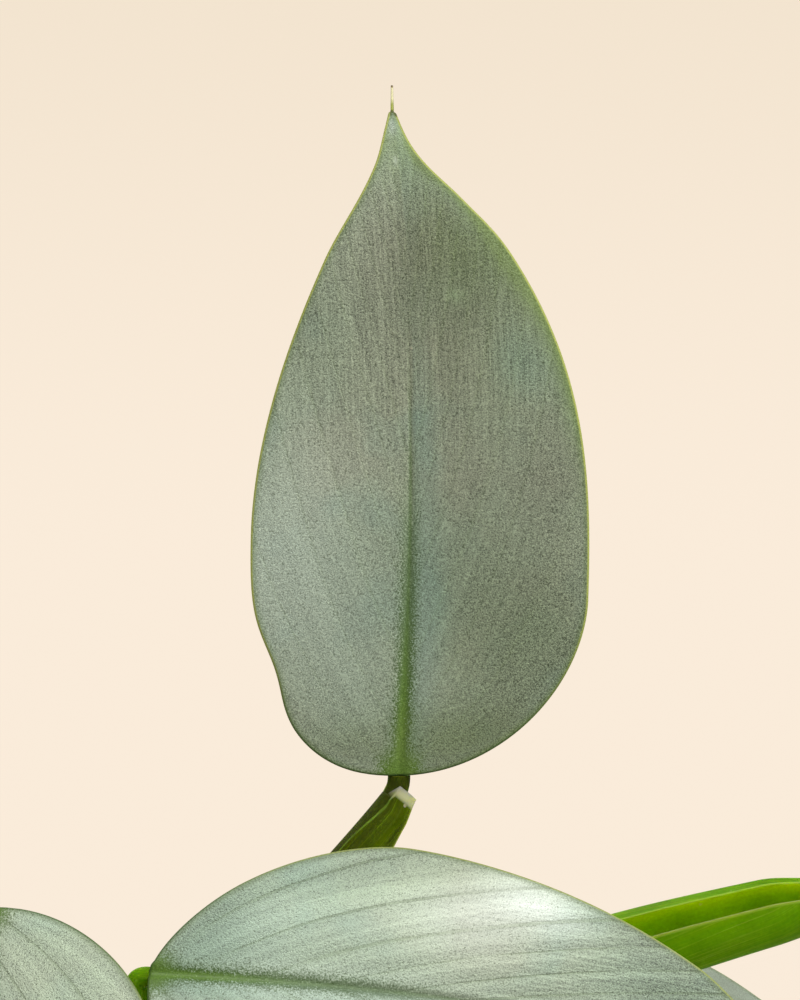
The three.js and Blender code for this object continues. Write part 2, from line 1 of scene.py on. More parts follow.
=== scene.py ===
"""Dresses a philodendron hastatum in a clay pot: fine leaves, stems, pot and mix, on a plain stage.

Sizes are in millimetres until a mesh is made, in metres. Each fine piece follows the same named values and
formulas as the solid that it replaces, and adds finer detail. Apart from that, blades and the edges of
sheaths are 0.2 mm thinner, sheaths narrow more at their end, pieces that meet lie closer together, and the
tall leaf's margin is up to 3 mm further out at the right of its foot and within 1 mm elsewhere.
"""

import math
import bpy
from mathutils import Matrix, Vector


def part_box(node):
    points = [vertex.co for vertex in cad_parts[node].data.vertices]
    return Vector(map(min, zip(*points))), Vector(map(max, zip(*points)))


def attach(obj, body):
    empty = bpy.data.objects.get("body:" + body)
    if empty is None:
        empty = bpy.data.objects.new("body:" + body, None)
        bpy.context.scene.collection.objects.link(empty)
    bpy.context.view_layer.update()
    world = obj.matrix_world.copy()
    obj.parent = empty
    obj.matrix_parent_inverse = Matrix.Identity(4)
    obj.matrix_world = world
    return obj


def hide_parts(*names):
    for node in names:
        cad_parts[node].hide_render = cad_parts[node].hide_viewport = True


bl_info = {
    "name": "Potted philodendron hastatum",
    "version": (1, 0, 0),
    "blender": (4, 5, 0),
    "location": "View3D > Sidebar > Hastatum",
    "description": "Fine leaves, stems, pot, potting mix and stage for a silvery aroid",
    "category": "Add Mesh",
}

import bpy
import numpy as np

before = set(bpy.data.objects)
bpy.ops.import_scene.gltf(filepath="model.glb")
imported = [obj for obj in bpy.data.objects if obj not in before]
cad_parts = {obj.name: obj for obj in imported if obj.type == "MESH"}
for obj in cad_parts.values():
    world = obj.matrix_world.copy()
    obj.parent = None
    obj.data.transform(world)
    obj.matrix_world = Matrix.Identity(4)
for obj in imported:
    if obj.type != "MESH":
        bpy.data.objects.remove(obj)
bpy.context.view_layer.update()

MM = 0.001
SEAT_GAP = 0.3

# Pot and potting mix, as in the solids. The frame gives the pot's height and its rim.
POT_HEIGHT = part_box("pot")[1].z / MM
POT_RIM_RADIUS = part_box("pot")[1].x / MM
POT_BODY_TOP_RADIUS = 65
POT_BASE_RADIUS = 47
POT_RIM_DEPTH = 27
POT_WALL = 6
POT_FLOOR = 8
POT_SIDES = 180
DRAIN_RADIUS = 5
DRAIN_CIRCLE_RADIUS = 24
DRAIN_COUNT = 4
SOIL_LEVEL = 110
SOIL_LUMP = 1.6
GRAINS_REACH = 57
GOLDEN_ANGLE = 2.399963

# Stems
STEM_FOOT_RADIUS = 4.6
STEM_TOP_RADIUS = 3.9
STEM_DEPTH_IN_SOIL = 42
STEM_SIDES = 40
NODE_SWELLING = 0.45
NODE_HALF_LENGTH = 2.2
NODE_GROOVE = 0.22

# Petioles
CORE_BASE_RADIUS = 3.3
CORE_TIP_RADIUS = 2.4
CORE_BACK = 105
CLASP_WALL = 1.7
CLASP_ANGLE = 88
WING_EDGE = 1.0
WING_GROWS_FROM = 13
WING_GROWS_TO = 38
LIGULE_LENGTH = 3.4
WING_ROOT = 2.1
WING_ROOT_AT_END = 3.7
SHEATH_END_NARROWING = 0.24
PETIOLE_STEP = 1.15
PETIOLE_HALF_COLUMNS = 30

# Blades
LAMINA = 0.9
FINE_LAMINA = 0.7
RIB_BASE_HALF_WIDTH = 2.0
RIB_TIP_HALF_WIDTH = 0.35
RIB_BASE_DEPTH = 3.75
LAMINA_LIFT = 1.8
THREAD_LENGTH = 5.6
THREAD_HALF_WIDTH = 0.38
APEX_HALF_WIDTH = 0.75
APEX_SPREAD = 0.30

# Veins leave the midrib by VEIN_SLOPE along for 1 across, and steepen outwards and towards the tip.
VEIN_SLOPE = 1.35
VEIN_ARCH = 33.4
VEIN_STEEPENING = 4.2
VEIN_FAN = 22
VEIN_SPACING = 14.5

# New leaves, still rolled: their radii at the foot, where they are thickest, and at the tip.
ROLL_FOOT_RADIUS = 3.2
ROLL_RADIUS = 3.9
ROLL_TIP_RADIUS = 0.45
ROLL_THICKEST = 0.3

# Stage. The camera is level and looks along Y, and the picture is PHOTO_HEIGHT high at the tall leaf.
CAMERA_ACROSS = 12
CAMERA_HEIGHT = 343.4
PHOTO_HEIGHT = 208.7
SENSOR = 36

# Outline of one half of a blade. widest is where along the blade it is broadest. base rounds the part below
# and tip fairs the part above, each as two powers. taper is where the drawn-out tip starts and how much it
# narrows. dent is a shallow bay in the margin: its depth, its place along the blade and its spread. The
# dents and FIRST_RIGHT's base are nearer to the real leaf than those of the solid are.
HALF = dict(widest=0.32, base=(2.0, 0.5), tip=(2.3, 1.15), taper=(0.7, 0.35))
FIRST_LEFT = dict(
    widest=0.36, base=(2.36, 0.41), tip=(1.89, 1.21), taper=(0.65, 0.24),
    dent=(2.45, 0.155, 0.065),
)
FIRST_RIGHT = dict(
    widest=0.26, base=(1.85, 0.5), tip=(2.88, 1.12), taper=(0.77, 0.42),
    dent=(0.9, 0.845, 0.03),
)
SECOND_LEFT = dict(widest=0.35, base=(1.68, 0.66), tip=(1.7, 0.91), taper=(0.7, 0.35))

# Stems: foot at the soil's level, top, and how far the middle bows sideways.
STEMS = {
    "a": dict(foot=(-8, -4), top=(-33, -5, 206), bow=(2, 3)),
    "b": dict(foot=(27, 14), top=(44, 30, 196), bow=(-2, 1)),
    "c": dict(foot=(-14, 27), top=(-22, 44, 190), bow=(1, -2)),
}

# Leaves, with the same values as the solids. Only hem, age_and_painted_shade, veined and clouds are not in
# the solids.
# node and outward are where the petiole leaves its stem. spread, rise, reach, lead and bend draw its line.
# core, sheath, narrows, close and hem size its core and its sheath's two wings, which open towards opens.
# base, axis and face place the blade. Its length, its widths to the left and right, droop, bow, fold, curl,
# wave and twist shape it.
# age_and_painted_shade is how dark and olive the petiole is, from age and from painted shade where it lies in
# shadow, or a fresher green below 0, and veined how much the veins show.
# clouds are soft patches on the bloom: painted light and shade, with some of the bloom's own patchiness. Each
# has its place along the length and across the half width, its two sizes in the same shares, and how much
# lighter, more purple and greener it is.
LEAVES = {
    "01": dict(
        stem="a", node=199, outward=150, spread=0.1, rise=30, reach=34,
        lead=(0.62, 0.1, 0.78), bend=2.6, sheath=5.2, close=150, opens=(0.75, 0.21, -0.62),
        base=(11.8, 14, 284.6), axis=(-0.01, 0.035, 1), face=(0.02, -1, 0.035),
        length=142, left=33.8, right=38.3, left_half=FIRST_LEFT, right_half=FIRST_RIGHT,
        droop=3, bow=3.1, fold=5, curl=2.0, wave=(0.8, 1.6, 0.2), twist=0, age_and_painted_shade=1.0, veined=0.12,
        hem=(1.03, 0.77),
        clouds=(
            # The tip, with a painted light side and a painted dark side
            (0.96, 0.0, 0.06, 1.5, 0.18, -0.3, 0.62), (0.98, -0.25, 0.016, 0.6, 0.45, -0.3, -0.5),
            (0.925, 0.85, 0.035, 0.25, -0.55, 0.0, 0.75), (0.925, -0.05, 0.007, 0.12, 0.6, 0.0, 0.0),
            # The upper half, darker with painted shade and purplish, with a greener patch and a small light
            # spot
            (0.74, 0.15, 0.15, 0.8, -0.22, 0.6, 0.18), (0.80, 0.6, 0.10, 0.5, -0.18, 0.0, 0.5),
            (0.60, 0.6, 0.12, 0.5, -0.05, 0.0, 0.2), (0.62, 0.72, 0.06, 0.2, 0.0, -0.9, 0.0),
            (0.718, 0.376, 0.011, 0.07, 0.13, -0.8, 0.15),
            # The right side in painted shade, darker towards the foot
            (0.43, 0.75, 0.08, 0.3, -0.08, 0.6, 0.0), (0.30, 0.3, 0.15, 0.3, -0.12, 0.0, 0.1),
            (0.20, 0.75, 0.14, 0.5, -0.28, 0.0, 0.35), (0.05, 0.5, 0.05, 0.7, -0.18, 0.0, 0.5),
            # The left side in painted light, lighter except at its foot
            (0.32, -0.85, 0.22, 0.45, 0.34, -0.4, 0.0), (0.25, -0.35, 0.18, 0.35, 0.11, -0.3, 0.0),
            (0.46, -0.4, 0.10, 0.4, 0.05, 0.2, 0.0), (0.12, -0.45, 0.08, 0.35, 0.1, -0.2, 0.1),
            (0.04, -0.6, 0.04, 0.5, -0.12, 0.0, 0.2),
            # Beside the midrib near the foot, lighter with a painted sheen
            (0.25, 0.13, 0.12, 0.12, 0.12, -0.8, 0.0), (0.13, 0.25, 0.1, 0.3, 0.18, 0.0, 0.0),
            # Green along the right margin
            (0.79, 0.98, 0.12, 0.16, 0.0, -0.3, 0.9), (0.58, 1.0, 0.14, 0.09, 0.05, -0.3, 0.75),
        ),
    ),
    "02": dict(
        stem="a", node=180, outward=308, spread=0.5, rise=24, reach=16,
        lead=(0.1, -0.1, 0.99), bend=2.7, core=2, sheath=5.2, close=138,
        base=(-39.1, -22, 246.7), axis=(0.992, -0.077, -0.101), face=(0.03, -0.87, 0.5),
        length=138, left=31.9, right=34, left_half=SECOND_LEFT,
        droop=11, bow=-2.8, fold=7, curl=2.5, wave=(1.0, 1.5, 2.0), twist=0, age_and_painted_shade=-0.5, veined=0.35,
        clouds=(
            # The sheen across the middle
            (0.47, -0.60, 0.11, 0.35, 0.34, 0.9, -0.1), (0.56, -0.83, 0.085, 0.22, 0.62, 0.2, -0.1),
            (0.38, -0.5, 0.12, 0.4, 0.13, 0.2, -0.05),
            # The foot and the midrib
            (0.13, -0.5, 0.12, 0.5, 0.22, 0.0, 0.0), (0.15, 0.0, 0.25, 0.12, 0.4, 0.0, 0.0),
            (0.08, -0.4, 0.09, 0.6, -0.12, -0.7, 0.1),
            # The upper margin and the far end, darker
            (0.28, -0.9, 0.12, 0.25, -0.2, 0.0, 0.1), (0.40, -0.93, 0.16, 0.2, -0.14, 0.3, 0.0),
            (0.80, -0.4, 0.12, 0.6, -0.2, -0.4, 0.15),
            # Most of the blade, a little less purple
            (0.3, -0.5, 0.6, 1.5, -0.04, -0.45, 0.0),
        ),
    ),
    "03": dict(
        stem="a", node=144, outward=225, spread=0.3, rise=30, reach=44,
        lead=(0.15, -0.4, 0.9), bend=8, sheath=4.6, close=135, opens=(-0.2, 0.85, 0.5),
        base=(-68.2, -60, 264.2), axis=(0.065, -0.536, -0.841), face=(0.1, -0.7, 0.7),
        length=134, left=35, right=34,
        droop=16, bow=1.5, fold=9, curl=2.5, wave=(1.0, 1.7, 1.0), twist=0, age_and_painted_shade=0.3, veined=0.3,
    ),
    "04": dict(
        stem="a", node=162, outward=74, spread=0.52, rise=52, reach=104,
        lead=(0.965, 0.03, 0.25), bend=4, sheath=9, narrows=0.26, close=160, opens=(-0.1, -0.78, 0.61),
        base=(112, 12, 259.6), axis=(0.9, -0.28, 0.34), face=(-0.25, -0.5, 0.83),
        length=140, left=35, right=36,
        droop=42, bow=1.5, fold=9, curl=3, wave=(1.2, 1.6, 0.4), twist=-6, age_and_painted_shade=0.0, veined=0.7,
    ),
    "05": dict(
        stem="b", node=180, outward=62, spread=0.2, rise=22, reach=18,
        lead=(0.35, 0.3, 0.88), bend=4.5, sheath=5.4, close=135,
        base=(56.9, 52, 232.5), axis=(0.782, 0.287, -0.553), face=(0.35, -0.55, 0.75),
        length=128, left=32, right=32,
        droop=12, bow=-1.5, fold=8, curl=2.5, wave=(1.1, 1.6, 3.0), twist=0, age_and_painted_shade=0.2, veined=0.3,
        # Painted light: the whole blade made lighter.
        clouds=((0.4, 0.0, 0.5, 2.0, 0.58, -0.5, 0.3),),
    ),
    "06": dict(
        stem="c", node=176, outward=190, spread=0.2, rise=22, reach=34,
        lead=(-0.85, 0.1, 0.5), bend=4.5, sheath=5.6, close=135,
        base=(-92, 46, 222), axis=(-0.66, 0.18, 0.72), face=(0.42, -0.6, 0.68),
        length=132, left=33, right=33,
        droop=34, bow=1.5, fold=9, curl=2.5, wave=(1.2, 1.5, 1.5), twist=5, age_and_painted_shade=0.2, veined=0.7,
    ),
    "07": dict(
        stem="c", node=157, outward=62, spread=0.3, rise=20, reach=26,
        lead=(0.2, 0.85, 0.45), bend=4.5, sheath=5.4, close=135,
        base=(-2, 94, 204), axis=(0.12, 0.96, 0.14), face=(0.05, -0.14, 1),
        length=124, left=31, right=31,
        droop=48, bow=1, fold=10, curl=2.5, wave=(1.2, 1.7, 0.9), twist=4, age_and_painted_shade=0.35, veined=0.7,
    ),
    "08": dict(
        stem="b", node=160, outward=300, spread=0.3, rise=22, reach=28,
        lead=(0.35, -0.7, 0.6), bend=4.5, sheath=5.6, close=132,
        base=(62, -44, 206), axis=(0.62, -0.74, -0.22), face=(0.2, -0.15, 0.95),
        length=126, left=32, right=32,
        droop=38, bow=-1, fold=9, curl=2.5, wave=(1.2, 1.6, 2.2), twist=-5, age_and_painted_shade=0.15, veined=0.7,
    ),
    "09": dict(
        stem="a", node=128, outward=300, spread=0.3, rise=16, reach=20,
        lead=(0.1, -0.85, 0.5), bend=4.5, sheath=5.2, close=130,
        base=(2, -68, 166), axis=(0.12, -0.92, -0.36), face=(0.05, -0.35, 0.93),
        length=108, left=28, right=28,
        droop=42, bow=1, fold=9, curl=2, wave=(1.0, 1.6, 0.1), twist=5, age_and_painted_shade=0.5, veined=0.7,
    ),
    "10": dict(
        stem="c", node=139, outward=215, spread=0.3, rise=18, reach=22,
        lead=(-0.85, -0.25, 0.45), bend=4.5, sheath=5.3, close=130,
        base=(-86, 4, 180), axis=(-0.93, -0.22, -0.2), face=(-0.2, -0.1, 0.97),
        length=118, left=30, right=30,
        droop=44, bow=-1, fold=9, curl=2.2, wave=(1.1, 1.6, 2.6), twist=-6, age_and_painted_shade=0.45, veined=0.7,
    ),
    "11": dict(
        stem="b", node=138, outward=55, spread=0.3, rise=14, reach=20,
        lead=(0.6, 0.65, 0.45), bend=4.5, sheath=5.2, close=130,
        base=(80, 72, 170), axis=(0.74, 0.62, -0.2), face=(0.15, 0.1, 0.98),
        length=106, left=27, right=27,
        droop=46, bow=1, fold=9, curl=2, wave=(1.0, 1.5, 1.2), twist=4, age_and_painted_shade=0.5, veined=0.7,
    ),
    "12": dict(
        stem="c", node=122, outward=125, spread=0.3, rise=12, reach=18,
        lead=(-0.5, 0.75, 0.45), bend=4.5, sheath=5.0, close=130,
        base=(-56, 84, 152), axis=(-0.6, 0.76, -0.22), face=(-0.1, 0.15, 0.98),
        length=98, left=25, right=25,
        droop=44, bow=1, fold=9, curl=2, wave=(0.9, 1.6, 2.0), twist=-4, age_and_painted_shade=0.6, veined=0.7,
    ),
}
NEAR_LEAVES = ("01", "02")

# Rows along a blade and columns across each half of it. The near leaves have more, so that all pieces
# together stay under a million triangles.
NEAR_BLADE_GRID = (220, 62)
BLADE_GRID = (120, 34)

# Grains on the mix: how many, their random seed, their sizes, how flat they are, how deep they are sunk, how
# boxy they are, and the rows and sides of each.
GRAINS = {
    "bark_chips": dict(
        count=190, seed=3, size=(2.6, 4.6), flatness=0.42, sink=0.35, boxy=0.6, rows=3, sides=8,
    ),
    "perlite_grains": dict(
        count=120, seed=8, size=(0.8, 1.6), flatness=0.9, sink=0.4, boxy=1.0, rows=4, sides=7,
    ),
    "mix_crumbs": dict(
        count=520, seed=5, size=(0.6, 1.7), flatness=0.8, sink=0.35, boxy=0.9, rows=3, sides=6,
    ),
}

# New leaves, still rolled, on the tops of stems b and c.
NEW_LEAVES = {
    "new_leaf_b": dict(stem="b", length=42, lean=(-0.35, -0.4)),
    "new_leaf_c": dict(stem="c", length=38, lean=(0.25, -0.15)),
}


# Arithmetic on whole arrays

def unit(vectors):
    vectors = np.asarray(vectors, float)
    return vectors / np.linalg.norm(vectors, axis=-1, keepdims=True)


def lerp(a, b, share):
    return a + (b - a) * share


def smooth(x, low, high):
    """0 at low and 1 at high, eased between them. low may be above high."""
    share = np.clip((x - low) / (high - low), 0, 1)
    return share * share * (3 - 2 * share)


def across(tangent, hint):
    """Two directions across a tangent, the first as near to hint as it can be."""
    first = unit(hint - tangent * np.sum(tangent * hint, axis=-1, keepdims=True))
    return first, np.cross(tangent, first)


def turned(vectors, axes, angles):
    """Vectors turned about unit axes: v cos a + (axis x v) sin a + axis (axis . v)(1 - cos a)."""
    cos, sin = np.cos(angles)[..., None], np.sin(angles)[..., None]
    along = axes * np.sum(axes * vectors, axis=-1, keepdims=True)
    return vectors * cos + np.cross(axes, vectors) * sin + along * (1 - cos)


def rough(points, size, seed=0):
    """Smooth random heights from -1 to 1: hashed values at the corners of cubes, eased between them."""
    spots = np.asarray(points, float) / size + 19.7 * seed
    cell = np.floor(spots)
    share = spots - cell
    share = share * share * (3 - 2 * share)
    total = 0
    for corner in np.ndindex(2, 2, 2):
        key = (cell + corner) @ np.array([127.1, 311.7, 74.7])
        hashed = np.modf(np.abs(np.sin(key) * 43758.5453))[0]
        weight = np.prod(np.where(corner, share, 1 - share), axis=-1)
        total = total + weight * (2 * hashed - 1)
    return total


# Meshes

def grid_faces(rows, columns, closed=False):
    """Four-sided faces of a grid of points, whose last column joins the first where it is closed."""
    i, j = np.meshgrid(np.arange(rows - 1), np.arange(columns if closed else columns - 1), indexing="ij")
    right = (j + 1) % columns
    faces = [i * columns + j, i * columns + right, (i + 1) * columns + right, (i + 1) * columns + j]
    return np.stack(faces, axis=-1).reshape(-1, 4)


def folded_cap(start, half):
    """Faces that close a ring whose second half runs back beside its first half: one across each pair."""
    j = np.arange(half - 1)
    back = 2 * half - 1 - j
    return start + np.stack([j, back, back - 1, j + 1], axis=-1)


def signed_volume(points, faces):
    """Six times the volume inside closed faces, by triple products. It is below 0 where they look inwards."""
    total = 0
    for group in faces:
        first = points[group[:, 0]]
        for k in range(1, group.shape[1] - 1):
            total += np.sum(first * np.cross(points[group[:, k]], points[group[:, k + 1]]))
    return total


def make_piece(name, points, faces, material, attributes=None, sharp=None):
    """A closed mesh from points in millimetres and groups of faces, which are turned to look outwards."""
    points = np.asarray(points, float).reshape(-1, 3)
    if signed_volume(points, faces) < 0:
        faces = [group[:, ::-1] for group in faces]
    mesh = bpy.data.meshes.new(name)
    corners = np.concatenate([group.ravel() for group in faces])
    sides = np.concatenate([np.full(len(group), group.shape[1]) for group in faces])
    mesh.vertices.add(len(points))
    mesh.vertices.foreach_set("co", (points * MM).ravel())
    mesh.loops.add(len(corners))
    mesh.loops.foreach_set("vertex_index", corners.astype(np.int32))
    mesh.polygons.add(len(sides))
    mesh.polygons.foreach_set("loop_start", (np.cumsum(sides) - sides).astype(np.int32))
    mesh.polygons.foreach_set("use_smooth", np.ones(len(sides), bool))
    for label, values in (attributes or {}).items():
        attribute = mesh.attributes.new(label, "FLOAT_VECTOR", "POINT")
        attribute.data.foreach_set("vector", np.asarray(values, float).reshape(-1, 3).ravel())
    mesh.update(calc_edges=True)
    mesh.validate()
    if sharp is not None:
        mesh.set_sharp_from_angle(angle=math.radians(sharp))
    mesh.materials.append(material)
    piece = bpy.data.objects.new(name, mesh)
    bpy.context.scene.collection.objects.link(piece)
    return piece


def cut_away(piece, cutters, sharp):
    """Takes the cutters' shapes out of a piece for good, and removes them."""
    for cutter in cutters:
        cutting = piece.modifiers.new("cut", "BOOLEAN")
        cutting.operation = "DIFFERENCE"
        cutting.solver = "EXACT"
        cutting.object = cutter
    whole = piece.data
    evaluated = piece.evaluated_get(bpy.context.evaluated_depsgraph_get())
    piece_mesh = bpy.data.meshes.new_from_object(evaluated)
    piece.modifiers.clear()
    piece.data = piece_mesh
    piece_mesh.name = piece.name
    piece_mesh.set_sharp_from_angle(angle=math.radians(sharp))
    bpy.data.meshes.remove(whole)
    for cutter in cutters:
        bpy.data.meshes.remove(cutter.data)


def belongs(piece, slot, *nodes):
    """Joins a piece to the frame's one body and lets it stand for its solids. slot is not used."""
    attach(piece, "root")
    if nodes:
        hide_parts(*nodes)


def stack(*columns):
    """Vectors from three arrays that broadcast together."""
    return np.stack(np.broadcast_arrays(*columns), axis=-1)


def rings(radii, heights, sides):
    """Rings of points about the upright axis: (r cos a, r sin a, z) for each radius r and height z."""
    angle = np.linspace(0, 2 * math.pi, sides, endpoint=False)
    radii = np.asarray(radii, float)[:, None]
    heights = np.asarray(heights, float)[:, None]
    return stack(radii * np.cos(angle), radii * np.sin(angle), heights)


# Materials

class Value:
    """A number that changes over a surface. Arithmetic on it adds Math nodes to its tree."""

    def __init__(self, nodes, socket):
        self.nodes = nodes
        self.socket = socket

    def worked(self, operation, *numbers):
        made = self.nodes.node("ShaderNodeMath", {"operation": operation}, dict(enumerate(numbers)))
        return Value(self.nodes, made.outputs[0])

    def __add__(self, other):
        return self.worked("ADD", self, other)

    def __sub__(self, other):
        return self.worked("SUBTRACT", self, other)

    def __mul__(self, other):
        return self.worked("MULTIPLY", self, other)

    def __truediv__(self, other):
        return self.worked("DIVIDE", self, other)

    def __rsub__(self, other):
        return self.worked("SUBTRACT", other, self)

    def __rtruediv__(self, other):
        return self.worked("DIVIDE", other, self)

    def __pow__(self, other):
        return self.worked("POWER", self, other)

    def __abs__(self):
        return self.worked("ABSOLUTE", self)

    __radd__ = __add__
    __rmul__ = __mul__

    def part(self):
        """What is left above the whole number below."""
        return self.worked("FRACT", self)

    def kept(self, low, high):
        return self.worked("MAXIMUM", self.worked("MINIMUM", self, high), low)

    def rise(self, low, high):
        """0 at low and 1 at high, eased between them. low may be above high."""
        if low > high:
            return 1 - self.rise(high, low)
        settings = {"interpolation_type": "SMOOTHSTEP"}
        inputs = {"Value": self, "From Min": low, "From Max": high}
        made = self.nodes.node("ShaderNodeMapRange", settings, inputs)
        return Value(self.nodes, made.outputs[0])


class Nodes:
    """The nodes of one tree, a material's or the backdrop's."""

    def __init__(self, tree):
        self.tree = tree

    def node(self, kind, settings=None, inputs=None):
        """Any node: its type, then its settings, then the values or links of its sockets."""
        made = self.tree.nodes.new(kind)
        for name, setting in (settings or {}).items():
            setattr(made, name, setting)
        self.fill(made, inputs or {})
        return made

    def fill(self, made, inputs):
        for name, value in inputs.items():
            value = value.socket if isinstance(value, Value) else value
            if isinstance(value, bpy.types.NodeSocket):
                self.tree.links.new(value, made.inputs[name])
            else:
                made.inputs[name].default_value = value

    def split(self, vector):
        made = self.node("ShaderNodeSeparateXYZ", inputs={0: vector})
        return [Value(self, output) for output in made.outputs]

    def mix(self, share, first, second, blend="MIX"):
        """A colour between two, or one laid over the other in another blend."""
        settings = {"data_type": "RGBA", "blend_type": blend}
        inputs = {0: share, 6: solid(first), 7: solid(second)}
        return self.node("ShaderNodeMix", settings, inputs).outputs[2]


class Paint(Nodes):
    """One material's nodes, on a Principled shader."""

    def __init__(self, name):
        self.material = bpy.data.materials.new(name)
        self.material.use_nodes = True
        super().__init__(self.material.node_tree)
        self.shader = self.tree.nodes["Principled BSDF"]

    def attribute(self, name):
        """The three numbers of a vector attribute."""
        made = self.node("ShaderNodeAttribute", {"attribute_name": name})
        return self.split(made.outputs["Vector"])

    def vector(self, *numbers):
        return self.node("ShaderNodeCombineXYZ", inputs=dict(enumerate(numbers))).outputs[0]

    def place(self):
        """The point's place on the object, in metres."""
        return self.node("ShaderNodeTexCoord").outputs["Object"]

    def noise(self, vector, scale, detail=2.0, roughness=0.5, distortion=0.0):
        inputs = {
            "Vector": vector, "Scale": scale, "Detail": detail,
            "Roughness": roughness, "Distortion": distortion,
        }
        return Value(self, self.node("ShaderNodeTexNoise", inputs=inputs).outputs[0])

    def cells(self, vector, scale):
        """How far it is to the middle of the nearest of many scattered cells."""
        inputs = {"Vector": vector, "Scale": scale}
        return Value(self, self.node("ShaderNodeTexVoronoi", inputs=inputs).outputs["Distance"])

    def shaded(self, colour, value):
        """A colour made darker or lighter: each of its three parts times one number."""
        grey = self.node("ShaderNodeCombineColor", inputs={0: value, 1: value, 2: value}).outputs[0]
        return self.mix(1.0, colour, grey, "MULTIPLY")

    def bump(self, height, distance, strength=1.0, below=None):
        inputs = {"Height": height, "Distance": distance, "Strength": strength}
        if below is not None:
            inputs["Normal"] = below
        return self.node("ShaderNodeBump", inputs=inputs).outputs[0]

    def finish(self, **inputs):
        """Sets the shader's sockets: their names, with _ for a space."""
        self.fill(self.shader, {name.replace("_", " "): value for name, value in inputs.items()})
        return self.material


def solid(colour):
    """A colour as a node wants it: a socket as it is, three numbers with an alpha of 1."""
    if isinstance(colour, (bpy.types.NodeSocket, Value)):
        return colour
    return (*colour[:3], 1.0)


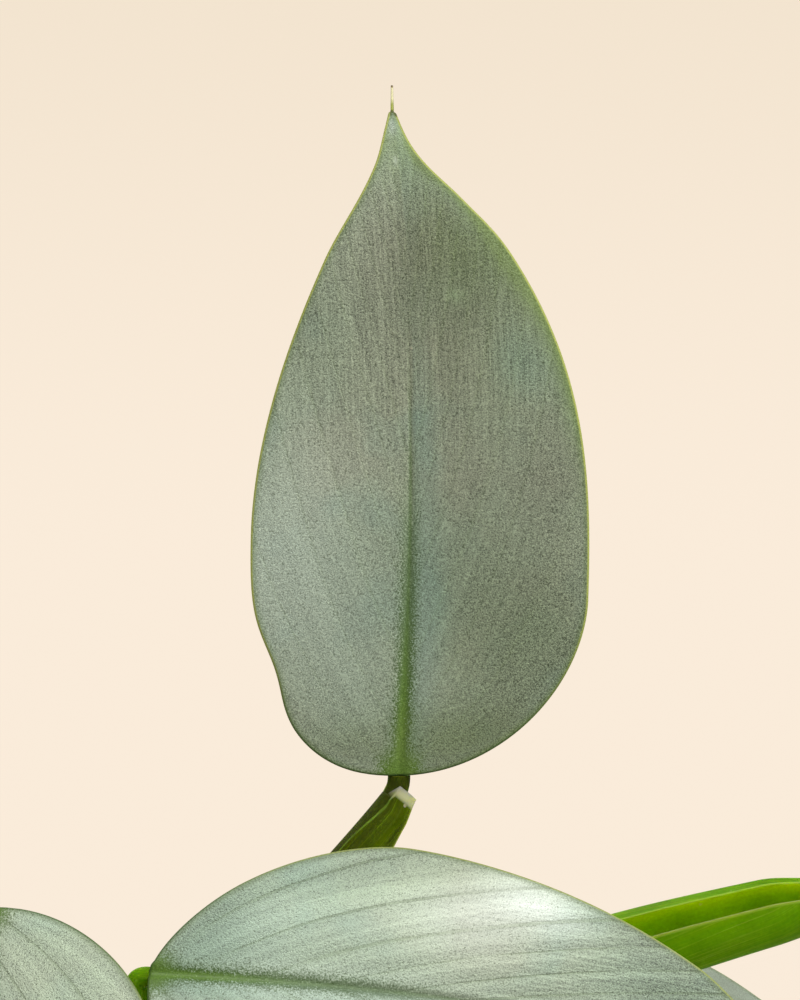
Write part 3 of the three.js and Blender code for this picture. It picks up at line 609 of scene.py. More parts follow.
def silver_blade(look):
    """Leaf blade: silvery bloom over green, which shows along the midrib, the veins and the margin."""
    paint = Paint("silver_blade")

    # x and y are centimetres across and along the blade, and u is y as a share of the length. course is the
    # vein that a point is on, by where it leaves the midrib, steep how fast that changes, and rib how many
    # half widths of the midrib away the point is. margin is millimetres to the edge.
    x, y, u = paint.attribute("lamina")
    course, steep, rib = paint.attribute("veins")
    margin, under, veined = paint.attribute("edge")
    # lighter is painted light and shade, with some of the bloom's own patchiness. purpler and greener change
    # its colour.
    lighter, purpler, greener = paint.attribute("clouds")
    place = paint.place()
    grain = paint.noise(place, 2900, detail=1.5, roughness=0.7) - 0.5
    dust = paint.noise(place, 6000, detail=1.0) - 0.5
    clouds = paint.noise(place, 24, detail=3.0, roughness=0.55)
    drift = paint.noise(place, 60, detail=2.0)
    streaks = paint.vector(course * 1.6, x * 0.25, y * 0.12)
    streaks = paint.noise(streaks, 1.0, detail=3.0, roughness=0.6) - 0.5
    threads = paint.noise(paint.vector(course * 5.5, x * 0.3, y * 0.15), 1.0, detail=1.5) - 0.5

    # Thin lighter lines along the upper half, as if combed: where a noise crosses its middle.
    combed = paint.noise(paint.vector(x * 7.5, y * 0.11, 3.0), 1.0, detail=1.0) - 0.5
    combed = ((1 - abs(combed) * 18).kept(0, 1) - 0.22) * u.rise(0.35, 0.6) * u.rise(0.97, 0.85)

    # The bloom: silver-green, purplish and cooler in clouds, and pale where the leaf's clouds make it
    # lightest, which is painted sheen. Its shine is lighter along streaks and threads that follow the veins,
    # has a fine grain, and takes the clouds' painted light and shade.
    bloom = paint.mix((clouds.rise(0.40, 0.68) * 0.6 + purpler * 0.7).kept(0, 1), look.silver, look.purple)
    cool = x.rise(0.0, 0.12) * x.rise(0.9, 0.2) * (0.4 + 0.6 * clouds) * (1 - 0.6 * veined)
    cool = (drift.rise(0.48, 0.75) * 0.45 + cool * 0.7 - purpler * 0.8).kept(0, 1)
    bloom = paint.mix(cool, bloom, look.blue_green)
    bloom = paint.mix((lighter * 0.8).kept(0, 0.8), bloom, look.painted_sheen_and_pale_bloom)
    shine = 1 + lighter + streaks * (0.15 + 0.7 * veined) + threads * (0.3 + veined)
    shine = shine + grain * 2.3 + dust * 1.3 + combed * (0.05 + 0.35 * clouds)
    bloom = paint.shaded(bloom, shine * (0.86 + 0.28 * clouds))

    # Where the green shows through: a band over the midrib, wide and ragged at the foot, and a thin one that
    # goes on towards the tip, then the veins, the pores between the grains, the rim and the clouds' green.
    fleck = grain * 2.2
    band = (rib + fleck * 1.4 + veined * 0.5).rise(1.25, 0.6) * (1 - u.rise(0.1, 0.42))
    band = band * (1 - veined * u.rise(0.06, 0.2))
    foot = (rib * 0.42 + fleck).rise(1.35, 0.5) * u.rise(0.055, 0.01)
    halo = (rib * 0.7 + fleck * 1.6).rise(1.5, 0.35) * (1 - u.rise(0.3, 0.55)) * 0.55
    thin_band = (abs(x) * 22 + fleck).rise(1.5, 0.1) * (1 - u.rise(0.42, 0.7)) * 0.6
    away = abs((course / (VEIN_SPACING / 10) + streaks * 0.3).part() - 0.5) * VEIN_SPACING / steep
    vein = (away + fleck * 0.2).rise(0.4, 0.06) * drift.rise(0.25, 0.55) * 0.5
    vein = vein + (away * 0.45 + grain).rise(0.8, 0.0) * 0.12
    veins = vein * (veined + 0.12)
    pores = (0 - grain).rise(0.08, 0.3) * 0.55
    rim = (margin + fleck * 0.6).rise(1.9, 0.3) * 0.55
    green_side = (greener + fleck * 0.25).kept(0, 1)
    shown = 1 - (1 - band) * (1 - foot) * (1 - thin_band) * (1 - veins) * (1 - rim) * (1 - green_side * 0.7)
    shown = (1 - (1 - shown) * (1 - halo) * (1 - pores)).kept(0, 1)
    green = paint.mix(rib.rise(0.75, 0.2) * (1 - u.rise(0.0, 0.3)), look.midrib, look.midrib_light)
    green = paint.mix(rib.rise(1.4, 2.6), green, look.leaf_green)
    green = paint.mix(foot, green, look.midrib_light)
    green = paint.mix(green_side, green, look.leaf_bright)
    # The green under the bloom takes the clouds' painted light and shade as well.
    green = paint.shaded(green, 0.95 + grain * 1.2 + lighter * 0.6)
    upper = paint.mix(shown, bloom, green)
    edge_line = (margin + dust * 0.4).rise(0.6, 0.25)
    edge_colour = paint.mix(u.rise(0.04, 0.3), look.midrib, look.margin)
    upper = paint.mix(edge_line * (0.95 - 0.8 * veined), upper, edge_colour)
    specks = paint.cells(place, 90).rise(0.05, 0.03) * paint.noise(place, 40).rise(0.6, 0.66)
    upper = paint.mix(specks * 0.7, upper, look.speck)

    # The underside is a paler, matt green with raised veins.
    lower = paint.mix(drift.rise(0.3, 0.7), look.underside, look.underside_dark)
    lower = paint.mix(vein.kept(0, 1) * 0.8, lower, look.underside_vein)
    lower = paint.mix(rib.rise(1.3, 0.8) * 0.8, lower, look.petiole)
    lower = paint.shaded(lower, 0.94 + grain * 0.45)
    colour = paint.mix(under, upper, lower)

    # The dark hood under the tip's thread, and the pale thread with its brown end.
    hood = u.rise(0.99, 0.994) * margin.rise(1.0, 0.45) * x.rise(-0.1, -0.02) * (1 - under)
    colour = paint.mix(hood * 0.9, colour, look.hood)
    thread = paint.mix(u.rise(1.008, 1.022), look.margin, look.thread)
    thread = paint.mix(u.rise(1.034, 1.039), thread, look.scar)
    colour = paint.mix(u.rise(1.0, 1.003), colour, thread)

    # Relief: veins sunk in the upper face and raised on the lower one, under a fine grain.
    sunk = (vein * -1.2 + streaks * 0.5) * (0.25 + 0.75 * veined)
    relief = paint.bump(sunk * (1 - 1.7 * under), 0.0002, 0.6)
    relief = paint.bump(grain, 0.00014, 0.6, relief)
    gloss = 0.42 + grain * 0.6 + (clouds - 0.5) * 0.2 + shown * 0.08
    return paint.finish(
        Base_Color=colour, Roughness=(gloss + under * 0.15).kept(0.25, 0.9), Normal=relief,
        Metallic=(1 - under) * (1 - shown) * 0.34, IOR=1.45, Sheen_Weight=0.1, Sheen_Roughness=0.5,
        Coat_Weight=(lighter * 0.6).kept(0, 1), Coat_Roughness=0.45,
    )


def sheathed_petiole(look):
    """Petiole: glossy green with fine lengthwise streaks, cream edges on its wings and a pale, papery end."""
    paint = Paint("sheathed_petiole")

    # around is millimetres round the section, along centimetres from the clasp, and inside 1 in the trough.
    # edge is how far the wing's edge is, rooted how far past the wing's root a point is, and end is 1 near
    # the sheath's end.
    around, along, inside = paint.attribute("sheath")
    edge, ligule, rooted = paint.attribute("wing")
    age_and_painted_shade, end = paint.attribute("skin")[:2]
    place = paint.place()
    mottle = paint.noise(place, 130, detail=2.0)
    fine = paint.noise(paint.vector(around * 2.6, along * 0.25, inside * 7), 1.0, detail=3.0, roughness=0.6)
    broad = paint.noise(paint.vector(around * 0.7, along * 0.12, inside * 3), 1.0, detail=2.0)
    grain = paint.noise(place, 1500, detail=1.5)
    colour = paint.mix(broad.rise(0.35, 0.65), look.petiole_dark, look.petiole)
    # Darker and olive by age_and_painted_shade: older tissue, and painted shade on a petiole that lies in
    # shadow.
    colour = paint.mix((age_and_painted_shade * (0.75 + 0.4 * broad)).kept(0, 1), colour, look.shaded_olive)
    colour = paint.mix(fine.rise(0.48, 0.75) * (0.5 - 0.3 * age_and_painted_shade), colour, look.petiole_light)
    # The core beside the wings is darker: partly its own deeper green, partly painted shade in the groove by
    # the wing's root.
    core = (rooted + (fine - 0.5) * 0.8).rise(0.35, -0.35) * (1 - inside)
    colour = paint.mix(core * (0.35 + 0.5 * age_and_painted_shade), colour, look.core)
    root_line = (1 - abs(rooted + (fine - 0.5) * 0.3).rise(0.0, 0.45)) * (1 - inside) * end
    # Painted light: the inside of the trough is painted bright, as if lit through its thin walls.
    colour = paint.mix(inside * 0.9 * (1 - 0.7 * age_and_painted_shade), colour, look.trough)
    colour = paint.mix(root_line * 0.6, colour, look.wing_edge)
    # Darker bands of the core's colour where age_and_painted_shade is high: partly tone, partly painted
    # shade.
    bands = paint.noise(paint.vector(around * 0.8 + 4, along * 0.1, 0), 1.0, detail=2.0).rise(0.42, 0.58)
    colour = paint.mix(bands * age_and_painted_shade.kept(0, 1) * 0.6, colour, look.core)
    colour = paint.shaded(colour, 0.86 + (grain - 0.5) * 0.35 + (mottle - 0.5) * 0.5)
    cream = (edge + (fine - 0.5) * 0.5).rise(0.8, 0.2)
    colour = paint.mix(cream * 0.65, colour, look.wing_edge)
    colour = paint.mix(ligule * (0.35 + 0.9 * mottle).kept(0, 1), colour, look.ligule)
    scuffs = paint.cells(place, 160).rise(0.09, 0.05) * mottle.rise(0.6, 0.68)
    colour = paint.mix(scuffs * 0.6, colour, look.speck)
    ridges = paint.bump(fine, 0.0002, 0.6)
    ridges = paint.bump(grain, 0.00005, 0.3, ridges)
    return paint.finish(
        Base_Color=colour, Roughness=(0.40 + (mottle - 0.5) * 0.25 + ligule * 0.2).kept(0.2, 0.9),
        Normal=ridges, IOR=1.07, Subsurface_Weight=0.9, Subsurface_Radius=(0.7, 1.0, 0.1),
        Subsurface_Scale=0.008,
    )


def climbing_stem(look):
    """Stem: green, ageing to tan towards the soil, with a brown scar round each node."""
    paint = Paint("climbing_stem")
    around, height, node = paint.attribute("stem")
    place = paint.place()
    mottle = paint.noise(place, 170, detail=3.0)
    fine = paint.noise(paint.vector(around * 1.5, height * 0.5, 0), 1.0, detail=3.0)
    colour = paint.mix((height + (mottle - 0.5) * 2.0).rise(11.5, 15.5), look.stem_old, look.stem_green)
    colour = paint.mix(fine.rise(0.4, 0.7) * 0.4, colour, look.petiole_light)
    colour = paint.mix((node + (mottle - 0.5) * 1.2).rise(1.1, 0.3) * 0.7, colour, look.scar)
    lenticels = paint.cells(paint.vector(around * 0.5, height * 2.5, 0), 1.6).rise(0.13, 0.07)
    colour = paint.mix(lenticels * 0.5, colour, look.ligule)
    relief = paint.bump(fine + lenticels * 0.6, 0.0002, 0.7)
    return paint.finish(Base_Color=colour, Roughness=0.5 + (mottle - 0.5) * 0.3, Normal=relief)


def rolled_leaf(look):
    """New leaf: yellow-green and glossy, with the veins of its rolled blade and a darker overlapping edge."""
    paint = Paint("rolled_leaf")
    around, along, seam = paint.attribute("roll")
    place = paint.place()
    veins = paint.noise(paint.vector(around * 1.4 + along * 0.5, along * 0.15, 0), 1.0, detail=3.0)
    mottle = paint.noise(place, 150, detail=2.0)
    colour = paint.mix(along.rise(0.0, 3.5), look.petiole, look.new_green)
    colour = paint.mix(veins.rise(0.42, 0.7) * 0.5, colour, look.petiole_light)
    colour = paint.mix(seam.rise(0.55, 0.1) * 0.6, colour, look.wing_edge)
    colour = paint.shaded(colour, 0.9 + (mottle - 0.5) * 0.4)
    relief = paint.bump(veins, 0.0002, 0.6)
    return paint.finish(Base_Color=colour, Roughness=0.38 + (mottle - 0.5) * 0.2, Normal=relief)


def fired_clay(look):
    """Terracotta: matt and faintly mottled, with turning marks and pale salts at the rim and the foot."""
    paint = Paint("fired_clay")
    place = paint.place()
    px, py, pz = paint.split(place)
    clouds = paint.noise(place, 18, detail=4.0, roughness=0.6)
    speckle = paint.noise(place, 900, detail=2.0, roughness=0.7)
    turning = paint.noise(paint.vector(px * 4, py * 4, pz * 420), 1.0, detail=2.0)
    colour = paint.mix(clouds.rise(0.35, 0.68), look.clay_dark, look.clay)
    colour = paint.shaded(colour, 0.9 + (speckle - 0.5) * 0.5 + (turning - 0.5) * 0.25)
    foot = (pz + (clouds - 0.5) * 0.03).rise(0.03, 0.0)
    rim = (pz + (clouds - 0.5) * 0.03).rise(0.112, 0.128)
    bloom = (foot * 0.5 + rim * 0.35) * paint.noise(place, 70, detail=4.0, roughness=0.7).rise(0.42, 0.7)
    colour = paint.mix(bloom.kept(0, 1), colour, look.clay_bloom)
    pits = paint.cells(place, 420).rise(0.16, 0.05) * paint.noise(place, 240).rise(0.55, 0.65)
    relief = paint.bump(turning, 0.00035, 0.6)
    relief = paint.bump(speckle - pits * 2.0, 0.00015, 0.6, relief)
    return paint.finish(Base_Color=colour, Roughness=0.86 + (clouds - 0.5) * 0.15, Normal=relief, IOR=1.4)


def crumbly_mix(look):
    """Potting mix: dark and damp, with fibres and lighter crumbs."""
    paint = Paint("crumbly_mix")
    place = paint.place()
    crumbs = paint.noise(place, 420, detail=4.0, roughness=0.7)
    clods = paint.noise(place, 110, detail=2.0)
    fibres = paint.noise(place, 260, detail=2.0, distortion=2.5)
    colour = paint.mix(crumbs.rise(0.4, 0.65), look.mix_dark, look.mix)
    colour = paint.mix(fibres.rise(0.58, 0.64) * 0.6, colour, look.fibre)
    relief = paint.bump(clods, 0.0015, 0.8)
    relief = paint.bump(crumbs, 0.0011, 0.9, relief)
    return paint.finish(Base_Color=colour, Roughness=0.92, Normal=relief, IOR=1.35)


def pine_bark(look):
    """Bark chips: red-brown layers with pale broken edges."""
    paint = Paint("pine_bark")
    kind = paint.attribute("chip")[0]
    place = paint.place()
    px, py, pz = paint.split(place)
    layers = paint.noise(paint.vector(px * 260 + kind * 9, py * 260, pz * 1500), 1.0, detail=3.0)
    colour = paint.mix(layers.rise(0.35, 0.65), look.bark_dark, look.bark)
    colour = paint.mix(kind.rise(0.5, 1.0) * 0.4, colour, look.fibre)
    relief = paint.bump(layers, 0.0006, 0.9)
    return paint.finish(Base_Color=colour, Roughness=0.85, Normal=relief, IOR=1.35)


def expanded_perlite(look):
    """Perlite grains: white, chalky and pitted."""
    paint = Paint("expanded_perlite")
    place = paint.place()
    pits = paint.cells(place, 1300)
    dirt = paint.noise(place, 260, detail=3.0)
    colour = paint.mix(dirt.rise(0.5, 0.75) * 0.5, look.perlite, look.fibre)
    relief = paint.bump(pits, 0.0005, 0.8)
    return paint.finish(Base_Color=colour, Roughness=0.9, Normal=relief, IOR=1.35)


def studio_floor(look, reach):
    """The pale floor, which fades out into the backdrop at its edge. reach is its radius in metres."""
    paint = Paint("studio_floor")
    px, py = paint.split(paint.place())[:2]
    radius = (px * px + py * py) ** 0.5
    fade = radius.rise(reach * 0.55, reach * 0.97)
    paint.finish(Base_Color=solid(look.floor), Roughness=0.95, IOR=1.2)
    clear = paint.node("ShaderNodeBsdfTransparent").outputs[0]
    blend = paint.node("ShaderNodeMixShader", inputs={0: fade, 1: paint.shader.outputs[0], 2: clear})
    paint.fill(paint.tree.nodes["Material Output"], {"Surface": blend.outputs[0]})
    return paint.material


# Stems

def stem_point(name, w):
    """A stem's axis: w is 0 at the soil and 1 at the top. Its middle bows sideways by a parabola."""
    stem = STEMS[name]
    w = np.asarray(w, float)
    arch = 4 * w * (1 - w)
    return np.stack([
        lerp(stem["foot"][0], stem["top"][0], w) + stem["bow"][0] * arch,
        lerp(stem["foot"][1], stem["top"][1], w) + stem["bow"][1] * arch,
        lerp(SOIL_LEVEL, stem["top"][2], w),
    ], axis=-1)


def stem_share(name, z):
    """How far up its stem a height is: 0 at the soil and 1 at the top."""
    return (z - SOIL_LEVEL) / (STEMS[name]["top"][2] - SOIL_LEVEL)


def stem_tangent(name, w):
    """The direction of a stem's axis: from just below a point to just above it."""
    return unit(stem_point(name, w + 0.01) - stem_point(name, w - 0.01))


def stem_radius(w):
    """It falls evenly from the soil to the top, and stays the same below the soil."""
    return lerp(STEM_FOOT_RADIUS, STEM_TOP_RADIUS, np.maximum(w, 0))


def stem_surface(name, z, angle, grow):
    """A round section carried up the axis, swollen like a bell curve at each node, with a groove over it.

    grow widens it for the hole that it stands in, which has neither the groove nor the fine bumps.
    """
    w = stem_share(name, z)
    nodes = [leaf["node"] for leaf in LEAVES.values() if leaf["stem"] == name]
    apart = np.min([np.abs(z - node) for node in nodes], axis=0)
    radius = stem_radius(w) + grow + NODE_SWELLING * np.exp(-((apart / NODE_HALF_LENGTH) ** 2))
    if grow == 0:
        radius = radius - NODE_GROOVE * np.exp(-(((apart - 1.1) / 0.35) ** 2))
    axis = stem_point(name, w)[:, None]
    first, second = across(stem_tangent(name, w), np.array([1.0, 0, 0]))
    ring = np.cos(angle)[None, :, None] * first[:, None] + np.sin(angle)[None, :, None] * second[:, None]
    points = axis + radius[:, None, None] * ring
    if grow == 0:
        bumps = 0.12 * rough(points * [1, 1, 0.4], 2.2)
        points = points + unit(points - axis) * bumps[..., None]
    return points, apart


def tube_faces(rows, sides):
    """Faces of a tube of rings, with a flat end on the first and the last."""
    ends = np.stack([np.arange(sides)[::-1], (rows - 1) * sides + np.arange(sides)])
    return [grid_faces(rows, sides, closed=True), ends]


def build_stem(name, material, grow=0.0, rows=170, sides=STEM_SIDES):
    """A stem from its foot in the mix to its top, or the hole for it, which is wider by grow."""
    z = np.linspace(SOIL_LEVEL - STEM_DEPTH_IN_SOIL - grow, STEMS[name]["top"][2], rows)
    angle = np.linspace(0, 2 * math.pi, sides, endpoint=False)
    points, apart = stem_surface(name, z, angle, grow)
    around = np.abs(angle[None] - math.pi) * 4.2
    attributes = {"stem": stack(around, z[:, None] / 10, apart[:, None])}
    return make_piece(f"fine_stem_{name}", points, tube_faces(rows, sides), material, attributes, sharp=50)


# Petioles

def bezier(corners, t):
    """A Bezier curve and its direction: neighbouring corners are blended by t until two are left."""
    points = [np.asarray(corner, float)[None] + 0 * t[:, None] for corner in corners]
    while len(points) > 2:
        points = [lerp(a, b, t[:, None]) for a, b in zip(points, points[1:])]
    return lerp(points[0], points[1], t[:, None]), unit(points[1] - points[0])


def petiole_line(leaf):
    """The line of a petiole's core: a long curve along the stem and out, then a short bend to the blade."""
    w = stem_share(leaf["stem"], leaf["node"])
    up = stem_tangent(leaf["stem"], w)
    outward = math.radians(leaf["outward"])
    out = across(up, np.array([math.cos(outward), math.sin(outward), 0]))[0]
    clasp = stem_radius(w) + NODE_SWELLING + SEAT_GAP + CLASP_WALL
    start = stem_point(leaf["stem"], w) + out * (clasp - CORE_BASE_RADIUS)
    lead = unit(leaf["lead"])
    finish = np.array(leaf["base"], float)
    corner = finish - unit(leaf["axis"]) * leaf["bend"]
    elbow = corner - lead * leaf["bend"]
    first = unit(up + out * leaf["spread"])
    long_corners = [start, start + first * leaf["rise"], elbow - lead * leaf["reach"], elbow]
    short_corners = [elbow, corner, finish + unit(leaf["axis"]) * (SEAT_GAP - 0.04)]
    return long_corners, short_corners, out, clasp


def petiole_sections(core, sheath, close, back, opened, hem, half):
    """Sections of a petiole, as how far each point is towards the upper side and how far sideways.

    Where it is opened it is a trough: its outside, then its inside running back, each an arc of a circle,
    with a wall that thins and rounds off at the wings' edges. Elsewhere the same points go round the core.
    """
    outer = np.linspace(-1, 1, half)[None]
    inner = np.linspace(0.985, -0.985, half)[None]
    column = [np.asarray(a, float)[:, None] for a in (core, sheath, close, back, opened)]
    core, sheath, close, back, opened = column
    middle = sheath - core
    bead = 0.2 * np.exp(-(((1 - np.abs(outer)) * np.radians(close) * sheath / 0.9) ** 2))
    outer_angle = np.radians(close) * outer * np.where(outer < 0, hem[0], hem[1])
    inner_angle = np.radians(close) * inner * np.where(inner < 0, hem[0], hem[1])
    wall = WING_EDGE + (back - WING_EDGE) * np.maximum(0, np.cos(inner_angle)) ** 1.5
    wall = wall * np.sqrt(1 - 0.86 * np.clip((np.abs(inner) - 0.86) / 0.125, 0, 1) ** 2)
    trough = [
        (middle - (sheath + bead) * np.cos(outer_angle), (sheath + bead) * np.sin(outer_angle)),
        (middle - (sheath - wall) * np.cos(inner_angle), (sheath - wall) * np.sin(inner_angle)),
    ]
    round_outer = np.radians(CORE_BACK) * outer
    round_inner = math.pi - np.radians(180 - CORE_BACK) * inner
    plain = [
        (-core * np.cos(round_outer), core * np.sin(round_outer)),
        (-core * np.cos(round_inner), core * np.sin(round_inner)),
    ]
    upward = np.concatenate([lerp(p[0], t[0], opened) for p, t in zip(plain, trough)], axis=1)
    sideways = np.concatenate([lerp(p[1], t[1], opened) for p, t in zip(plain, trough)], axis=1)
    return upward, sideways


def petiole_stations(leaf, long_corners, short_corners):
    """Points, directions and distances along a petiole, then the sheath's length and its last station.

    The sheath's stations are even, and closer at its end. The distances run on through the short bend.
    """
    dense = np.linspace(0, 1, 800)
    line = bezier(long_corners, dense)[0]
    run = np.concatenate([[0], np.cumsum(np.linalg.norm(np.diff(line, axis=0), axis=1))])
    length = run[-1]
    even = np.linspace(0, length - 3, int(length / PETIOLE_STEP))
    sheathed = np.concatenate([even, length - np.linspace(2.6, 0, 12)])
    at, tangent = bezier(long_corners, np.interp(sheathed, run, dense))
    bend = np.concatenate([[0.03], np.linspace(0, 1, 14)[1:]])
    bend_at, bend_tangent = bezier(short_corners, bend)
    at = np.concatenate([at, bend_at])
    tangent = np.concatenate([tangent, bend_tangent])
    along = np.concatenate([sheathed, length + 1.6 * leaf["bend"] * bend])
    return at, tangent, along, length, len(sheathed) - 1


def sheath_facing(leaf, tangent, out, share, last):
    """Where the upper side looks: carried along without twist, then turned to open towards its goal."""
    upper = [-out]
    for direction in tangent:
        upper.append(across(direction, upper[-1])[0])
    upper = np.array(upper[1:])
    wanted = across(tangent[last], unit(leaf.get("opens", upper[last])))[0]
    side = np.cross(tangent[last], upper[last])
    turn = math.atan2(wanted @ side, wanted @ upper[last])
    return turned(upper, tangent, turn * smooth(share, 0, 0.8))


def build_petiole(name, leaf, material):
    """A petiole: its sections carried along its line, from the clasp round the stem to the blade's foot.

    Its wings grow from the clasp. Past their root, at the sheath's end, they reach forward as a papery tip.
    """
    long_corners, short_corners, out, clasp = petiole_line(leaf)
    at, tangent, along, length, last = petiole_stations(leaf, long_corners, short_corners)
    share = np.minimum(along / length, 1)
    facing = sheath_facing(leaf, tangent, out, share, last)
    sideways = np.cross(tangent, facing)

    grown = smooth(along, WING_GROWS_FROM, WING_GROWS_TO)
    narrowed = leaf["sheath"] * (1 - leaf.get("narrows", 0) * smooth(share, 0.62, 1.05))
    core = lerp(CORE_BASE_RADIUS, leaf.get("core", CORE_TIP_RADIUS), share)
    sheath = lerp(clasp, narrowed, smooth(along, 4, WING_GROWS_TO))
    sheath = sheath * (1 - SHEATH_END_NARROWING * smooth(along, length - 15, length + 1))
    close = lerp(CLASP_ANGLE, leaf["close"], grown)
    back = lerp(CLASP_WALL, 1.75 * core, smooth(along, 6, WING_GROWS_TO))
    opened = np.where(along <= length + 1e-6, 1.0, 0.0)
    half, hem = PETIOLE_HALF_COLUMNS, leaf.get("hem", (1, 1))
    up, aside = petiole_sections(core, sheath, close, back, opened, hem, half)
    points = at[:, None] + up[..., None] * facing[:, None] + aside[..., None] * sideways[:, None]

    inside = np.concatenate([np.zeros(half), np.ones(half)])[None]
    steps = np.concatenate([np.linspace(-1, 1, half), np.linspace(1, -1, half)])[None]
    reach = np.radians(close)[:, None] * sheath[:, None]
    around = steps * reach
    root = lerp(WING_ROOT, WING_ROOT_AT_END, smooth(along, length - 14, length - 1))[:, None]
    rooted = np.abs(around) - root
    onto_wing = smooth(rooted, -0.4, 1.0) * opened[:, None]
    onwards = unit(unit(leaf["lead"]) + 1.5 * unit(leaf["axis"]))
    forward = LIGULE_LENGTH * smooth(along, length - 2.6, length)[:, None] * onto_wing
    points = points + forward[..., None] * onwards
    edge = (1 - np.abs(steps)) * reach + 4 * (1 - opened[:, None])
    ligule = smooth(along, length - 1.15, length - 0.85)[:, None] * onto_wing
    rooted = np.where(opened[:, None] > 0.5, rooted, -4.0)
    near_end = smooth(along, length - 30, length - 8)[:, None]
    attributes = {
        "sheath": stack(around, along[:, None] / 10, inside * opened[:, None]),
        "wing": stack(edge, ligule, rooted),
        "skin": stack(leaf["age_and_painted_shade"], near_end, 0 * around),
    }
    faces = [
        grid_faces(len(along), 2 * half, closed=True),
        folded_cap(0, half)[:, ::-1],
        folded_cap((len(along) - 1) * 2 * half, half),
    ]
    return make_piece(f"fine_{name}", points, faces, material, attributes, sharp=60)


# Blades

def half_width(leaf, u, left):
    """How far a blade reaches from its midrib: a rounded base, a tip drawn out by a taper, and a thread."""
    half = leaf.get("left_half" if left else "right_half", HALF)
    width = leaf["left" if left else "right"]
    widest, base, tip, taper = half["widest"], half["base"], half["tip"], half["taper"]
    low = np.clip((widest - u) / widest, 0, 1)
    high = np.clip((u - widest) / (1 - widest), 0, 1)
    lower_share = (1 - low ** base[0]) ** base[1]
    upper_share = (1 - high ** tip[0]) ** tip[1] * (1 - taper[1] * smooth(high, taper[0], 0.95))
    reach = width * np.where(u < widest, lower_share, upper_share)
    if "dent" in half:
        depth, where, spread = half["dent"]
        reach = reach - depth * np.exp(-(((u - where) / spread) ** 2))
    rib = rib_half_width(u)
    below = np.clip(1 - u, 0, 1) * leaf["length"]
    dome = np.sqrt(1 - (1 - np.clip(below / 0.5, 0, 1)) ** 2)
    apex = (APEX_HALF_WIDTH + APEX_SPREAD * below) * dome * smooth(below, 26, 15)
    past = np.clip((u - 1) * leaf["length"] / THREAD_LENGTH, 0, 1)
    least = np.maximum(apex, THREAD_HALF_WIDTH * (1 - 0.35 * past))
    joined = 0.4 + 0.6 * np.sqrt(1 - (1 - np.clip(u * leaf["length"] / 2.5, 0, 1)) ** 2)
    least = np.where(u < 0.5, 1.6 * rib * joined, least)
    reach = np.where(u > 1, 0, reach)
    soft = 0.15 * smooth(below, 1, 5) * smooth(u, 0.5, 0.7)
    return (reach + least + np.sqrt((reach - least) ** 2 + soft)) / 2


def rib_half_width(u):
    """Half the midrib's width, which falls evenly from the foot to the tip."""
    return lerp(RIB_BASE_HALF_WIDTH, RIB_TIP_HALF_WIDTH, np.minimum(u, 1))


def vein_course(leaf, distance, along):
    """Which vein a point is on, as where along the midrib that vein leaves it, and how fast this changes.

    A vein that leaves at m runs through along = m + f (1 + s m / length), where f = a d + b d cubed grows
    with the distance d from the midrib. Below the first vein they fan out from the base, by along / f.
    """
    scale = 33 / leaf["left"]
    cubic = VEIN_ARCH / 33 ** 3
    d = distance * scale
    f = VEIN_SLOPE * d + cubic * d ** 3 + 1e-4
    slope = (VEIN_SLOPE + 3 * cubic * d * d) * scale
    steepening = 1 + VEIN_STEEPENING * f / leaf["length"]
    fanned = along < f
    course = np.where(fanned, VEIN_FAN * (along / f - 1), (along - f) / steepening)
    turn = slope * (1 + VEIN_STEEPENING * along / leaf["length"]) / steepening ** 2
    sideways = np.where(fanned, VEIN_FAN * along * slope / f ** 2, turn)
    lengthwise = np.where(fanned, VEIN_FAN / f, 1 / steepening)
    return course, np.clip(np.hypot(sideways, lengthwise), 0.3, 30)


def painted_light_and_bloom_patches(leaf, u, c):
    """How much lighter, from painted light and shade, more purple and greener the bloom is: the sum of the
    leaf's bell-shaped patches.
    """
    total = np.zeros((*np.broadcast_shapes(u.shape, c.shape), 3))
    for at_u, at_c, size_u, size_c, *change in leaf.get("clouds", ()):
        bell = np.exp(-(((u - at_u) / size_u) ** 2) - ((c - at_c) / size_c) ** 2)
        total = total + bell[..., None] * np.array(change)
    return total


